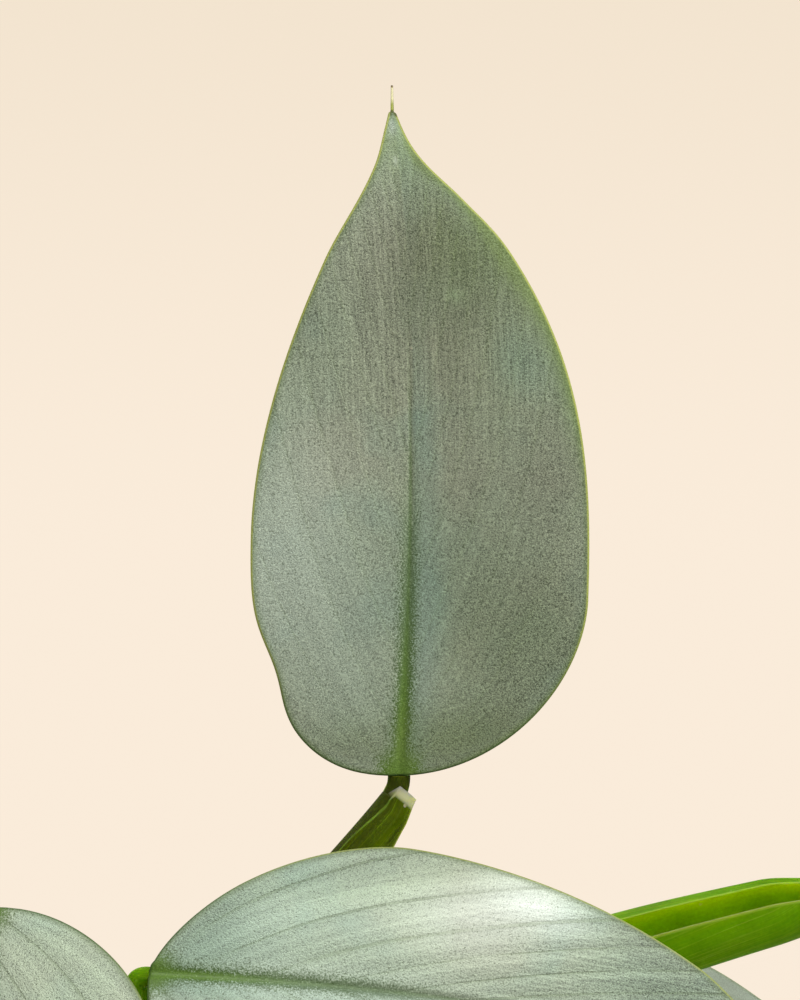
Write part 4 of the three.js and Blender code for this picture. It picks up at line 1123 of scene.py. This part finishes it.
def blade_surface(leaf, u, c, lower):
    """One face of a blade at the shares u of its length and c, from -1 to 1, of its half widths.

    The midrib runs on an arc that bends back by droop and sideways by bow. Both halves rise from it by fold,
    sink by curl towards the margin, and wave along it. The upper face has a groove over the midrib and swells
    a little between the veins. The lower one is a lamina's thickness below, with a round rib. Both meet at
    the margin.
    """
    y = unit(leaf["axis"])
    z = across(y, np.array(leaf["face"], float))[0]
    x = np.cross(y, z)
    origin = np.array(leaf["base"], float) + SEAT_GAP * y + (LAMINA_LIFT + LAMINA / 2) * z
    length, turn = leaf["length"], math.radians(leaf["droop"])
    angle = turn * u
    onwards = length * np.sin(angle) / turn
    backwards = length * (1 - np.cos(angle)) / turn
    aside = leaf["bow"] * np.sin(math.pi * np.minimum(u, 1))
    centre = origin + onwards[:, None] * y - backwards[:, None] * z + aside[:, None] * x
    tangent = np.cos(angle)[:, None] * y - np.sin(angle)[:, None] * z
    lift = np.cross(x, tangent)
    roll = math.radians(leaf["twist"]) * u
    sideways = turned(np.broadcast_to(x, tangent.shape), tangent, roll)
    lift = turned(lift, tangent, roll)

    side = np.sign(c)[None]
    left, right = half_width(leaf, u, True), half_width(leaf, u, False)
    reach = np.where(c[None] < 0, left[:, None], right[:, None])
    distance = np.abs(c)[None] * reach
    amount, count, phase = leaf["wave"]
    waved = amount * c[None] ** 2 * np.sin(2 * math.pi * count * u[:, None] + phase + side)
    ease = lerp(0.7, 5.0, smooth(u, 0.25, 0.9))[:, None]
    eased = np.sqrt(distance ** 2 + ease ** 2) - ease
    height = math.tan(math.radians(leaf["fold"])) * eased - leaf["curl"] * (distance / leaf["left"]) ** 2
    height = height + waved * smooth(u, 0, 0.12)[:, None]

    rib = rib_half_width(u)[:, None]
    along = u[:, None] * length
    course, steep = vein_course(leaf, distance, along)
    slope = np.gradient(reach, u * length, axis=0)
    margin = np.clip((reach - distance) / np.sqrt(1 + slope ** 2), 0, None)
    margin = np.minimum(margin, along)
    thickness = FINE_LAMINA * np.sqrt(1 - (1 - np.clip(margin / 0.55, 0, 1)) ** 2)
    thickness = np.where(u[:, None] > 1, np.minimum(thickness, 1.6 * reach), thickness)
    thickness = np.maximum(thickness, np.where(np.abs(c)[None] < 0.98, 0.12, 0.0))
    swelling = smooth(margin, 0.5, 6) * smooth(distance / rib, 1.0, 3.0)
    quilt = 0.07 * leaf["veined"] * np.cos(2 * math.pi * course / VEIN_SPACING) * swelling
    if lower:
        ridge = np.sqrt(np.clip(1 - (distance / (1.2 * rib)) ** 2, 0, 1))
        depth = LAMINA / 2 + thickness / 2 + RIB_BASE_DEPTH * np.clip(1 - u, 0, 1)[:, None] ** 1.1 * ridge
    else:
        fading = smooth(u, 0.85, 0.3)[:, None]
        depth = LAMINA / 2 - thickness / 2 + 0.42 * np.exp(-((distance / (0.6 * rib)) ** 2)) * fading
    up = (height + quilt - depth)[..., None] * lift[:, None]
    points = centre[:, None] + (side * distance)[..., None] * sideways[:, None] + up
    attributes = {
        "lamina": stack(side * distance / 10, along / 10, u[:, None]),
        "veins": stack(course / 10, steep, distance / rib),
        "edge": stack(margin, float(lower), leaf["veined"]),
        "clouds": painted_light_and_bloom_patches(leaf, u[:, None], c[None]),
    }
    return points, attributes


def column_shares(half):
    """Shares from midrib to margin: closest together at both, where the groove and the rounded edge are."""
    even = np.linspace(0, 1, half)
    shares = 0.45 * even + 0.55 * (1 - np.cos(math.pi * even)) / 2
    near_edge = np.array([0.984, 0.991, 0.9965, 1.0])
    return np.concatenate([shares[shares < 0.979], near_edge])


def build_blade(name, leaf, material, rows, half):
    """A blade: its upper face, and its lower one running back beneath, as one closed ring carried along."""
    shares = column_shares(half)
    c = np.concatenate([-shares[::-1], shares[1:]])
    even = np.linspace(0, 1, rows)
    u = 0.35 * even + 0.65 * (1 - np.cos(math.pi * even)) / 2
    u = np.concatenate([[0, 0.0004, 0.0012, 0.0025], u[1:-1][u[1:-1] > 0.0035]])
    tip = 1 - np.array([1.2, 0.9, 0.6, 0.35, 0.18, 0.08, 0.02]) / leaf["length"]
    thread = 1 + np.linspace(0.0, THREAD_LENGTH, 12) / leaf["length"]
    u = np.concatenate([u[u < tip[0] - 0.001], tip, thread])
    upper, upper_values = blade_surface(leaf, u, c, False)
    lower, lower_values = blade_surface(leaf, u, c[::-1], True)
    points = np.concatenate([upper, lower], axis=1)
    values = {key: np.concatenate([upper_values[key], lower_values[key]], axis=1) for key in upper_values}
    width = len(c)
    faces = [
        grid_faces(len(u), 2 * width, closed=True),
        folded_cap(0, width)[:, ::-1],
        folded_cap((len(u) - 1) * 2 * width, width),
    ]
    return make_piece(f"fine_{name}", points, faces, material, values)


# New leaves

def build_new_leaf(name, leaf, material, rows=90, sides=72):
    """A rolled spear on its stem's top: its radius falls to the tip, and grows by a step once round."""
    up = stem_tangent(leaf["stem"], 1.0)
    start = stem_point(leaf["stem"], 1.0) + up * 0.05
    share = np.linspace(0, 1, rows)
    low = lerp(ROLL_FOOT_RADIUS, ROLL_RADIUS, share / ROLL_THICKEST)
    narrowed = np.clip((share - ROLL_THICKEST) / (1 - ROLL_THICKEST), 0, 1) ** 1.4
    high = lerp(ROLL_RADIUS, ROLL_TIP_RADIUS, narrowed)
    radius = np.where(share < ROLL_THICKEST, low, high)
    lean = np.array([*leaf["lean"], 0])
    centre = start + leaf["length"] * (share[:, None] * up + share[:, None] ** 2 * lean)
    tangent = unit(up + 2 * share[:, None] * lean)
    first, second = across(tangent, np.array([1.0, 0, 0]))
    turn = np.linspace(0, 1, sides)
    angle = 2 * math.pi * turn[None] + 2.2 * share[:, None]
    rolled = radius[:, None] * (0.93 + 0.1 * turn[None] * smooth(share, 0.02, 0.15)[:, None])
    ring = np.cos(angle)[..., None] * first[:, None] + np.sin(angle)[..., None] * second[:, None]
    points = centre[:, None] + rolled[..., None] * ring
    around = turn[None] * 2 * math.pi * radius[:, None]
    seam = np.minimum(turn, 1 - turn)[None] * 2 * math.pi * radius[:, None]
    attributes = {"roll": stack(around, share[:, None] * leaf["length"] / 10, seam)}
    return make_piece(f"fine_{name}", points, tube_faces(rows, sides), material, attributes, sharp=45)


# Pot and potting mix

def pot_inner_radius(z):
    """The pot's inside, which widens evenly from its floor to just under its rim."""
    lowest = POT_BASE_RADIUS - POT_WALL + 1
    highest = POT_RIM_RADIUS - POT_WALL - 2
    return lerp(lowest, highest, (z - POT_FLOOR) / (POT_HEIGHT - 2 - POT_FLOOR))


def rounded_profile(corners, rounding, spacing):
    """A line through the corners, each cut short by its rounding and joined by a curve."""
    corners = np.asarray(corners, float)
    points = [corners[:1]]
    for before, corner, after, cut in zip(corners, corners[1:], corners[2:], rounding):
        entry = corner + unit(before - corner) * cut
        leave = corner + unit(after - corner) * cut
        count = max(2, int(np.linalg.norm(entry - points[-1][-1]) / spacing))
        points.append(lerp(points[-1][-1], entry, np.linspace(0, 1, count)[1:, None]))
        points.append(bezier([entry, corner, leave], np.linspace(0, 1, 6)[1:])[0])
    count = max(2, int(np.linalg.norm(corners[-1] - points[-1][-1]) / spacing))
    points.append(lerp(points[-1][-1], corners[-1], np.linspace(0, 1, count)[1:, None]))
    return np.concatenate(points)


def lathe(name, profile, sides, material, wander=0.0, sharp=None):
    """A profile of (radius, height) turned about the upright axis, where both its ends close to a point.

    wander pushes it in and out by broad, shallow dents, as clay turned by hand has.
    """
    ring = np.asarray(profile)[1:-1]
    points = rings(ring[:, 0], ring[:, 1], sides).reshape(-1, 3)
    if wander:
        outwards = points * [1, 1, 0] / np.linalg.norm(points[:, :2], axis=1)[:, None]
        free = smooth(points[:, 2], 0.5, 6)[:, None]
        dents = (rough(points, 38, 1) + 0.4 * rough(points * [1, 1, 6], 21, 2))[:, None]
        points = points + outwards * free * wander * dents
    ends = np.array([[0, 0, profile[0][1]], [0, 0, profile[-1][1]]])
    turn = np.arange(sides)
    low = np.stack([np.full(sides, len(points)), (turn + 1) % sides, turn], axis=-1)
    start = (len(ring) - 1) * sides
    high = np.stack([np.full(sides, len(points) + 1), start + turn, start + (turn + 1) % sides], axis=-1)
    faces = [grid_faces(len(ring), sides, closed=True), np.concatenate([low, high])]
    return make_piece(name, np.concatenate([points, ends]), faces, material, sharp=sharp)


def build_pot(material):
    """A tapered clay pot with a thick rim and four drain holes round the middle of its floor."""
    rim_foot = POT_HEIGHT - POT_RIM_DEPTH
    inner_top = POT_RIM_RADIUS - POT_WALL - 2
    corners = [
        (0, 0), (POT_BASE_RADIUS - 0.2, 0), (POT_BODY_TOP_RADIUS, rim_foot), (POT_RIM_RADIUS, rim_foot),
        (POT_RIM_RADIUS, POT_HEIGHT), (inner_top, POT_HEIGHT),
        (pot_inner_radius(POT_FLOOR), POT_FLOOR), (0, POT_FLOOR),
    ]
    rounding = [1.5, 1.2, 1.8, 2.4, 2.2, 3.0]
    profile = rounded_profile(corners, rounding, 2.5)
    pot = lathe("clay_pot", profile, POT_SIDES, material, wander=0.12, sharp=50)
    drains = []
    for i in range(DRAIN_COUNT):
        angle = 2 * math.pi * (i + 0.5) / DRAIN_COUNT
        middle = np.array([math.cos(angle), math.sin(angle), 0]) * DRAIN_CIRCLE_RADIUS
        drill = middle + rings([DRAIN_RADIUS, DRAIN_RADIUS], [-6, 2 * POT_FLOOR], 40)
        drains.append(make_piece(f"drain_{i}", drill, tube_faces(2, 40), material))
    cut_away(pot, drains, sharp=50)
    return pot


def soil_edge():
    """How high the mix is at the pot's wall, and its radius there."""
    height = SOIL_LEVEL - 2 * SOIL_LUMP
    return height, pot_inner_radius(height) - SEAT_GAP


def soil_height(x, y):
    """The mix's top: crossing waves for its lumps, random crumbs, and a slope down at the pot's wall."""
    edge_height, edge_radius = soil_edge()
    lumps = np.sin(x * 0.31 + 1.2) * np.cos(y * 0.27) + 0.6 * np.sin(x * 0.53 - y * 0.47 + 0.5)
    spots = stack(x, y, 0.0)
    crumbs = 0.55 * rough(spots, 6.5, 3) + 0.38 * rough(spots, 2.6, 4) + 0.22 * rough(spots, 1.3, 5)
    top = SOIL_LEVEL + SOIL_LUMP * lumps + crumbs
    return lerp(top, edge_height, smooth(np.hypot(x, y) / edge_radius, 0.93, 1.0))


def build_soil(material):
    """The mix as a filled body with a crumbly top, and a plain hole for each stem."""
    sides, steps = 300, 110
    edge_height, edge_radius = soil_edge()
    wall_z = np.linspace(POT_FLOOR + SEAT_GAP, edge_height, 12)[:-1]
    wall = rings(pot_inner_radius(wall_z) - SEAT_GAP, wall_z, sides)
    radii = edge_radius * np.linspace(1, 0.012, steps)
    top = rings(radii, 0 * radii, sides)
    top[..., 2] = soil_height(top[..., 0], top[..., 1])
    points = np.concatenate([wall, top])
    soil = make_piece("soil_body", points, tube_faces(len(points), sides), material)
    holes = [build_stem(name, material, grow=SEAT_GAP, rows=30, sides=24) for name in STEMS]
    cut_away(soil, holes, sharp=60)
    return soil


def scattered(count, radius, seed, clear=7.5):
    """Places in a disc, even as on a sunflower's head and then nudged, that keep clear of the stems."""
    chance = np.random.default_rng(seed)
    k = np.arange(count) + 0.5
    far = radius * np.sqrt(k / count)
    angle = k * GOLDEN_ANGLE + seed
    step = radius / math.sqrt(count)
    x = far * np.cos(angle) + chance.uniform(-0.35, 0.35, count) * step
    y = far * np.sin(angle) + chance.uniform(-0.35, 0.35, count) * step
    keep = np.hypot(x, y) < radius
    for stem in STEMS.values():
        keep &= np.hypot(x - stem["foot"][0], y - stem["foot"][1]) > clear
    return x[keep], y[keep], chance


def pebble_shape(rows, sides):
    """Directions over a ball, as rings of latitude between its two poles, and the faces between them."""
    polar = np.linspace(0, math.pi, rows + 2)[1:-1]
    belt = rings(np.sin(polar), np.cos(polar), sides).reshape(-1, 3)
    ball = np.concatenate([belt, [[0, 0, 1], [0, 0, -1]]])
    around = np.arange(sides)
    last = (rows - 1) * sides
    top = np.stack([np.full(sides, rows * sides), around, (around + 1) % sides], axis=-1)
    bottom = [np.full(sides, rows * sides + 1), last + (around + 1) % sides, last + around]
    triangles = np.concatenate([top, np.stack(bottom, axis=-1)])
    return ball, grid_faces(rows, sides, closed=True)[:, ::-1], triangles


def build_grains(name, material, count, seed, size, flatness, sink, boxy, rows, sides):
    """Many small lumps on the mix: balls squared off by boxy, stretched, dented, turned and part sunk."""
    x, y, chance = scattered(count, GRAINS_REACH, seed)
    number = len(x)
    ball, quads, triangles = pebble_shape(rows, sides)
    squared = np.sign(ball) * np.abs(ball) ** boxy
    whole = chance.uniform(*size, (number, 1))
    shares = [
        chance.uniform(0.8, 1.5, number),
        chance.uniform(0.55, 0.95, number),
        flatness * chance.uniform(0.7, 1.3, number),
    ]
    stretch = whole * np.stack(shares, axis=-1)
    dents = 1 + 0.22 * chance.uniform(-1, 1, (number, len(ball), 1))
    lumps = squared[None] * stretch[:, None] * dents
    heading = chance.uniform(0, 2 * math.pi, number)
    tilt = chance.normal(0, 0.3, (number, 2))
    upward = unit(stack(tilt[:, 0], tilt[:, 1], 1.0))
    first, second = across(upward, stack(np.cos(heading), np.sin(heading), 0.0))
    centre = stack(x, y, soil_height(x, y) + (1 - sink) * stretch[:, 2])
    points = (
        centre[:, None] + lumps[..., :1] * first[:, None]
        + lumps[..., 1:2] * second[:, None] + lumps[..., 2:] * upward[:, None]
    )
    start = (np.arange(number) * len(ball))[:, None, None]
    faces = [(quads[None] + start).reshape(-1, 4), (triangles[None] + start).reshape(-1, 3)]
    kind = np.broadcast_to(chance.uniform(0, 1, (number, 1)), (number, len(ball)))
    return make_piece(name, points, faces, material, {"chip": stack(kind, 0.0, 0.0)}, sharp=38)


# Stage

def build_floor(material, reach):
    """A flat disc of rings, a little below the pot. reach is its radius in metres."""
    sides = 128
    radii = reach / MM * np.array([0.02, 0.2, 0.5, 0.75, 1.0])
    points = rings(radii, 0 * radii - 0.05, sides)
    faces = [grid_faces(len(radii), sides, closed=True), np.arange(sides)[None, ::-1]]
    floor = make_piece("studio_floor", points, faces, material)
    return floor


def add_light(name, place, aim, width, height, power, colour):
    """A soft rectangular light at a place in millimetres, turned to its aim."""
    lamp = bpy.data.lights.new(name, "AREA")
    lamp.shape = "RECTANGLE"
    lamp.size, lamp.size_y = width * MM, height * MM
    lamp.energy = power
    lamp.color = colour
    light = bpy.data.objects.new(name, lamp)
    bpy.context.scene.collection.objects.link(light)
    towards = np.array(aim, float) - np.array(place, float)
    light.location = np.array(place) * MM
    light.rotation_mode = "QUATERNION"
    light.rotation_quaternion = Vector(towards).to_track_quat("-Z", "Y")
    return light


def add_camera(distance):
    """A level camera this many metres in front of the tall leaf, whose long side sees PHOTO_HEIGHT there."""
    lens = bpy.data.cameras.new("camera")
    lens.sensor_width = SENSOR
    lens.lens = SENSOR * distance / (PHOTO_HEIGHT * MM)
    lens.clip_start, lens.clip_end = 0.02, 20
    camera = bpy.data.objects.new("camera", lens)
    bpy.context.scene.collection.objects.link(camera)
    camera.location = (CAMERA_ACROSS * MM, -distance, CAMERA_HEIGHT * MM)
    camera.rotation_euler = (math.pi / 2, 0, 0)
    bpy.context.scene.camera = camera


def light_world(look):
    """The backdrop: a cream sky that darkens a little upwards, and softer where it only lights the plant."""
    world = bpy.data.worlds.new("backdrop")
    world.use_nodes = True
    bpy.context.scene.world = world
    sky = Nodes(world.node_tree)
    sky.tree.nodes.clear()
    height = sky.split(sky.node("ShaderNodeTexCoord").outputs["Generated"])[2]
    colour = sky.mix(height.rise(-0.02, 0.17), look.backdrop, look.backdrop_top)
    lit = {"Color": solid(look.ambient), "Strength": look.ambient_strength}
    lighting = sky.node("ShaderNodeBackground", inputs=lit).outputs[0]
    backdrop = sky.node("ShaderNodeBackground", inputs={"Color": colour}).outputs[0]
    seen = sky.node("ShaderNodeLightPath").outputs["Is Camera Ray"]
    blend = sky.node("ShaderNodeMixShader", inputs={0: seen, 1: lighting, 2: backdrop})
    sky.node("ShaderNodeOutputWorld", inputs={"Surface": blend.outputs[0]})


# Settings that a user would change

def colour_setting(name, description, default):
    return bpy.props.FloatVectorProperty(
        name=name, description=description, default=default, size=3, min=0, max=1, subtype="COLOR",
    )


class HASTATUM_PG_look(bpy.types.PropertyGroup):
    """Colours of the plant, the pot and the stage."""

    silver: colour_setting("Silver", "Bloom of the blades", (0.262, 0.325, 0.24))
    # Painted sheen: the pale colour laid on the bloom where the leaf's clouds make it lighter.
    painted_sheen_and_pale_bloom: colour_setting("Frost", "Bloom where it is lightest", (0.308, 0.334, 0.345))
    purple: colour_setting("Purple", "Purplish clouds in the bloom", (0.23, 0.25, 0.19))
    blue_green: colour_setting("Blue-green", "Cooler clouds in the bloom", (0.20, 0.285, 0.23))
    leaf_green: colour_setting("Leaf green", "Green under the bloom", (0.09, 0.145, 0.045))
    leaf_bright: colour_setting("Leaf green, bright", "Where the bloom is thin", (0.17, 0.26, 0.06))
    midrib: colour_setting("Midrib", "Sides of the midrib", (0.045, 0.105, 0.014))
    midrib_light: colour_setting("Midrib, light", "Middle of the midrib near the base", (0.075, 0.165, 0.008))
    margin: colour_setting("Margin", "Thin line round a blade", (0.34, 0.39, 0.07))
    hood: colour_setting("Hood", "Dark edge of the tip under its thread", (0.05, 0.07, 0.004))
    thread: colour_setting("Thread", "Middle of the thread on the tip", (0.78, 0.76, 0.46))
    underside: colour_setting("Underside", "Lower face of the blades", (0.24, 0.33, 0.16))
    underside_dark: colour_setting("Underside, darker", "Darker parts of it", (0.18, 0.27, 0.12))
    underside_vein: colour_setting("Underside veins", "Veins of the lower face", (0.33, 0.42, 0.17))
    speck: colour_setting("Specks", "Scuffs and mineral specks", (0.7, 0.66, 0.5))
    petiole: colour_setting("Petiole", "Petioles and sheaths", (0.12, 0.27, 0.001))
    petiole_dark: colour_setting("Petiole, darker", "Darker bands of it", (0.085, 0.24, 0.002))
    petiole_light: colour_setting("Petiole, lighter", "Fine streaks of it", (0.30, 0.45, 0.04))
    # Olive of older petioles, and painted shade on a petiole that lies in shadow.
    shaded_olive: colour_setting("Olive", "Older petioles", (0.07, 0.09, 0.002))
    # The core's deeper green, which also paints the shade beside the wings.
    core: colour_setting("Core", "The round core beside the wings", (0.05, 0.066, 0.008))
    # Painted light: the trough's bright colour stands in for light that passes through its walls.
    trough: colour_setting("Trough", "Inside of a sheath", (0.55, 0.73, 0.012))
    wing_edge: colour_setting("Wing edge", "Edges of a sheath", (0.28, 0.47, 0.06))
    ligule: colour_setting("Sheath end", "Papery ends of a sheath", (0.66, 0.74, 0.44))
    new_green: colour_setting("New leaf", "Leaves that are still rolled", (0.30, 0.45, 0.09))
    stem_green: colour_setting("Stem", "Young part of the stems", (0.15, 0.24, 0.035))
    stem_old: colour_setting("Stem, older", "Part next to the mix", (0.24, 0.2, 0.08))
    scar: colour_setting("Scar", "Rings at the nodes", (0.22, 0.14, 0.05))
    clay: colour_setting("Clay", "Fired clay", (0.50, 0.215, 0.11))
    clay_dark: colour_setting("Clay, darker", "Darker clouds of it", (0.41, 0.165, 0.082))
    clay_bloom: colour_setting("Mineral bloom", "Salts on the clay", (0.66, 0.52, 0.42))
    mix: colour_setting("Mix", "Potting mix", (0.085, 0.052, 0.033))
    mix_dark: colour_setting("Mix, darker", "Its damp hollows", (0.022, 0.014, 0.01))
    fibre: colour_setting("Fibre", "Coir and broken edges", (0.26, 0.16, 0.085))
    bark: colour_setting("Bark", "Bark chips", (0.17, 0.075, 0.035))
    bark_dark: colour_setting("Bark, darker", "Their outer layers", (0.06, 0.03, 0.018))
    perlite: colour_setting("Perlite", "Perlite grains", (0.72, 0.70, 0.66))
    floor: colour_setting("Floor", "Studio floor", (0.86, 0.76, 0.63))
    backdrop: colour_setting("Backdrop", "Behind the plant", (0.956, 0.835, 0.700))
    backdrop_top: colour_setting("Backdrop, top", "Its upper part", (0.888, 0.770, 0.620))
    ambient: colour_setting("Ambient", "Light from all round", (1.0, 0.93, 0.84))
    ambient_strength: bpy.props.FloatProperty(
        name="Ambient strength", description="Strength of the light from all round",
        default=0.25, min=0, max=5,
    )


class HASTATUM_PG_stage(bpy.types.PropertyGroup):
    """Sizes and lights of the stage."""

    floor_radius: bpy.props.FloatProperty(
        name="Floor radius", description="How far out the floor has faded into the backdrop",
        default=1.7, min=0.5, unit="LENGTH",
    )
    camera_distance: bpy.props.FloatProperty(
        name="Camera distance", description="How far in front of the tall leaf the camera stands",
        default=0.8, min=0.3, unit="LENGTH",
    )
    key: bpy.props.FloatProperty(
        name="Key", description="Power of the large light at the right", default=6.5, min=0, unit="POWER",
    )
    front: bpy.props.FloatProperty(
        name="Front", description="Power of the light high in front", default=8, min=0, unit="POWER",
    )
    back: bpy.props.FloatProperty(
        name="Back", description="Power of the light above the back", default=3.5, min=0, unit="POWER",
    )


# Operators, one for each piece or group of like pieces

class HASTATUM_OT_pot(bpy.types.Operator):
    """Make the clay pot"""

    bl_idname = "hastatum.pot"
    bl_label = "Clay pot"

    def execute(self, context):
        pot = build_pot(fired_clay(context.scene.hastatum_look))
        belongs(pot, "terracotta", "pot")
        return {"FINISHED"}


class HASTATUM_OT_mix(bpy.types.Operator):
    """Make the potting mix, with its bark chips, perlite grains and crumbs"""

    bl_idname = "hastatum.mix"
    bl_label = "Potting mix"

    def execute(self, context):
        look = context.scene.hastatum_look
        dark = crumbly_mix(look)
        belongs(build_soil(dark), "potting_mix", "potting_mix")
        materials = (pine_bark(look), expanded_perlite(look), dark)
        for (name, grains), material in zip(GRAINS.items(), materials):
            belongs(build_grains(name, material, **grains), "potting_mix")
        return {"FINISHED"}


class HASTATUM_OT_stems(bpy.types.Operator):
    """Make the three climbing stems"""

    bl_idname = "hastatum.stems"
    bl_label = "Stems"

    def execute(self, context):
        material = climbing_stem(context.scene.hastatum_look)
        for name in STEMS:
            belongs(build_stem(name, material), "stem", f"stem_{name}")
        return {"FINISHED"}


class HASTATUM_OT_petioles(bpy.types.Operator):
    """Make the petioles with their sheaths"""

    bl_idname = "hastatum.petioles"
    bl_label = "Petioles"

    def execute(self, context):
        material = sheathed_petiole(context.scene.hastatum_look)
        for number, leaf in LEAVES.items():
            name = f"petiole_{number}"
            belongs(build_petiole(name, leaf, material), "petiole", name)
        return {"FINISHED"}


class HASTATUM_OT_blades(bpy.types.Operator):
    """Make the leaf blades"""

    bl_idname = "hastatum.blades"
    bl_label = "Leaf blades"

    def execute(self, context):
        material = silver_blade(context.scene.hastatum_look)
        for number, leaf in LEAVES.items():
            name = f"blade_{number}"
            rows, half = NEAR_BLADE_GRID if number in NEAR_LEAVES else BLADE_GRID
            belongs(build_blade(name, leaf, material, rows, half), "blade", name)
        return {"FINISHED"}


class HASTATUM_OT_new_leaves(bpy.types.Operator):
    """Make the new leaves that are still rolled"""

    bl_idname = "hastatum.new_leaves"
    bl_label = "New leaves"

    def execute(self, context):
        material = rolled_leaf(context.scene.hastatum_look)
        for name, leaf in NEW_LEAVES.items():
            belongs(build_new_leaf(name, leaf, material), "new_leaf", name)
        return {"FINISHED"}


class HASTATUM_OT_stage(bpy.types.Operator):
    """Make the floor, the lights, the backdrop and the camera"""

    bl_idname = "hastatum.stage"
    bl_label = "Stage"

    def execute(self, context):
        look, stage = context.scene.hastatum_look, context.scene.hastatum_stage
        context.scene.view_settings.view_transform = "Standard"
        build_floor(studio_floor(look, stage.floor_radius), stage.floor_radius)
        middle = (20, 0, 280)
        add_light("key", (800, -330, 880), middle, 600, 600, stage.key, (1.0, 0.97, 0.93))
        add_light("front", (60, -620, 1150), middle, 700, 450, stage.front, (1.0, 0.98, 0.95))
        add_light("back", (-350, 700, 1000), middle, 700, 500, stage.back, (1.0, 0.97, 0.92))
        light_world(look)
        add_camera(stage.camera_distance)
        return {"FINISHED"}


class HASTATUM_PT_panel(bpy.types.Panel):
    """Lists the pieces"""

    bl_idname = "HASTATUM_PT_panel"
    bl_label = "Potted hastatum"
    bl_space_type = "VIEW_3D"
    bl_region_type = "UI"
    bl_category = "Hastatum"

    def draw(self, context):
        for operator in OPERATORS:
            self.layout.operator(operator.bl_idname)
        for settings in (context.scene.hastatum_look, context.scene.hastatum_stage):
            box = self.layout.box()
            for name in settings.__annotations__:
                box.prop(settings, name)


OPERATORS = (
    HASTATUM_OT_stage, HASTATUM_OT_pot, HASTATUM_OT_mix, HASTATUM_OT_stems,
    HASTATUM_OT_petioles, HASTATUM_OT_blades, HASTATUM_OT_new_leaves,
)
CLASSES = (HASTATUM_PG_look, HASTATUM_PG_stage, *OPERATORS, HASTATUM_PT_panel)


def register():
    for cls in CLASSES:
        bpy.utils.register_class(cls)
    bpy.types.Scene.hastatum_look = bpy.props.PointerProperty(type=HASTATUM_PG_look)
    bpy.types.Scene.hastatum_stage = bpy.props.PointerProperty(type=HASTATUM_PG_stage)


def unregister():
    del bpy.types.Scene.hastatum_stage
    del bpy.types.Scene.hastatum_look
    for cls in reversed(CLASSES):
        bpy.utils.unregister_class(cls)


def main():
    register()
    for operator in OPERATORS:
        group, action = operator.bl_idname.split(".")
        getattr(getattr(bpy.ops, group), action)()


if __name__ == "__main__":
    main()
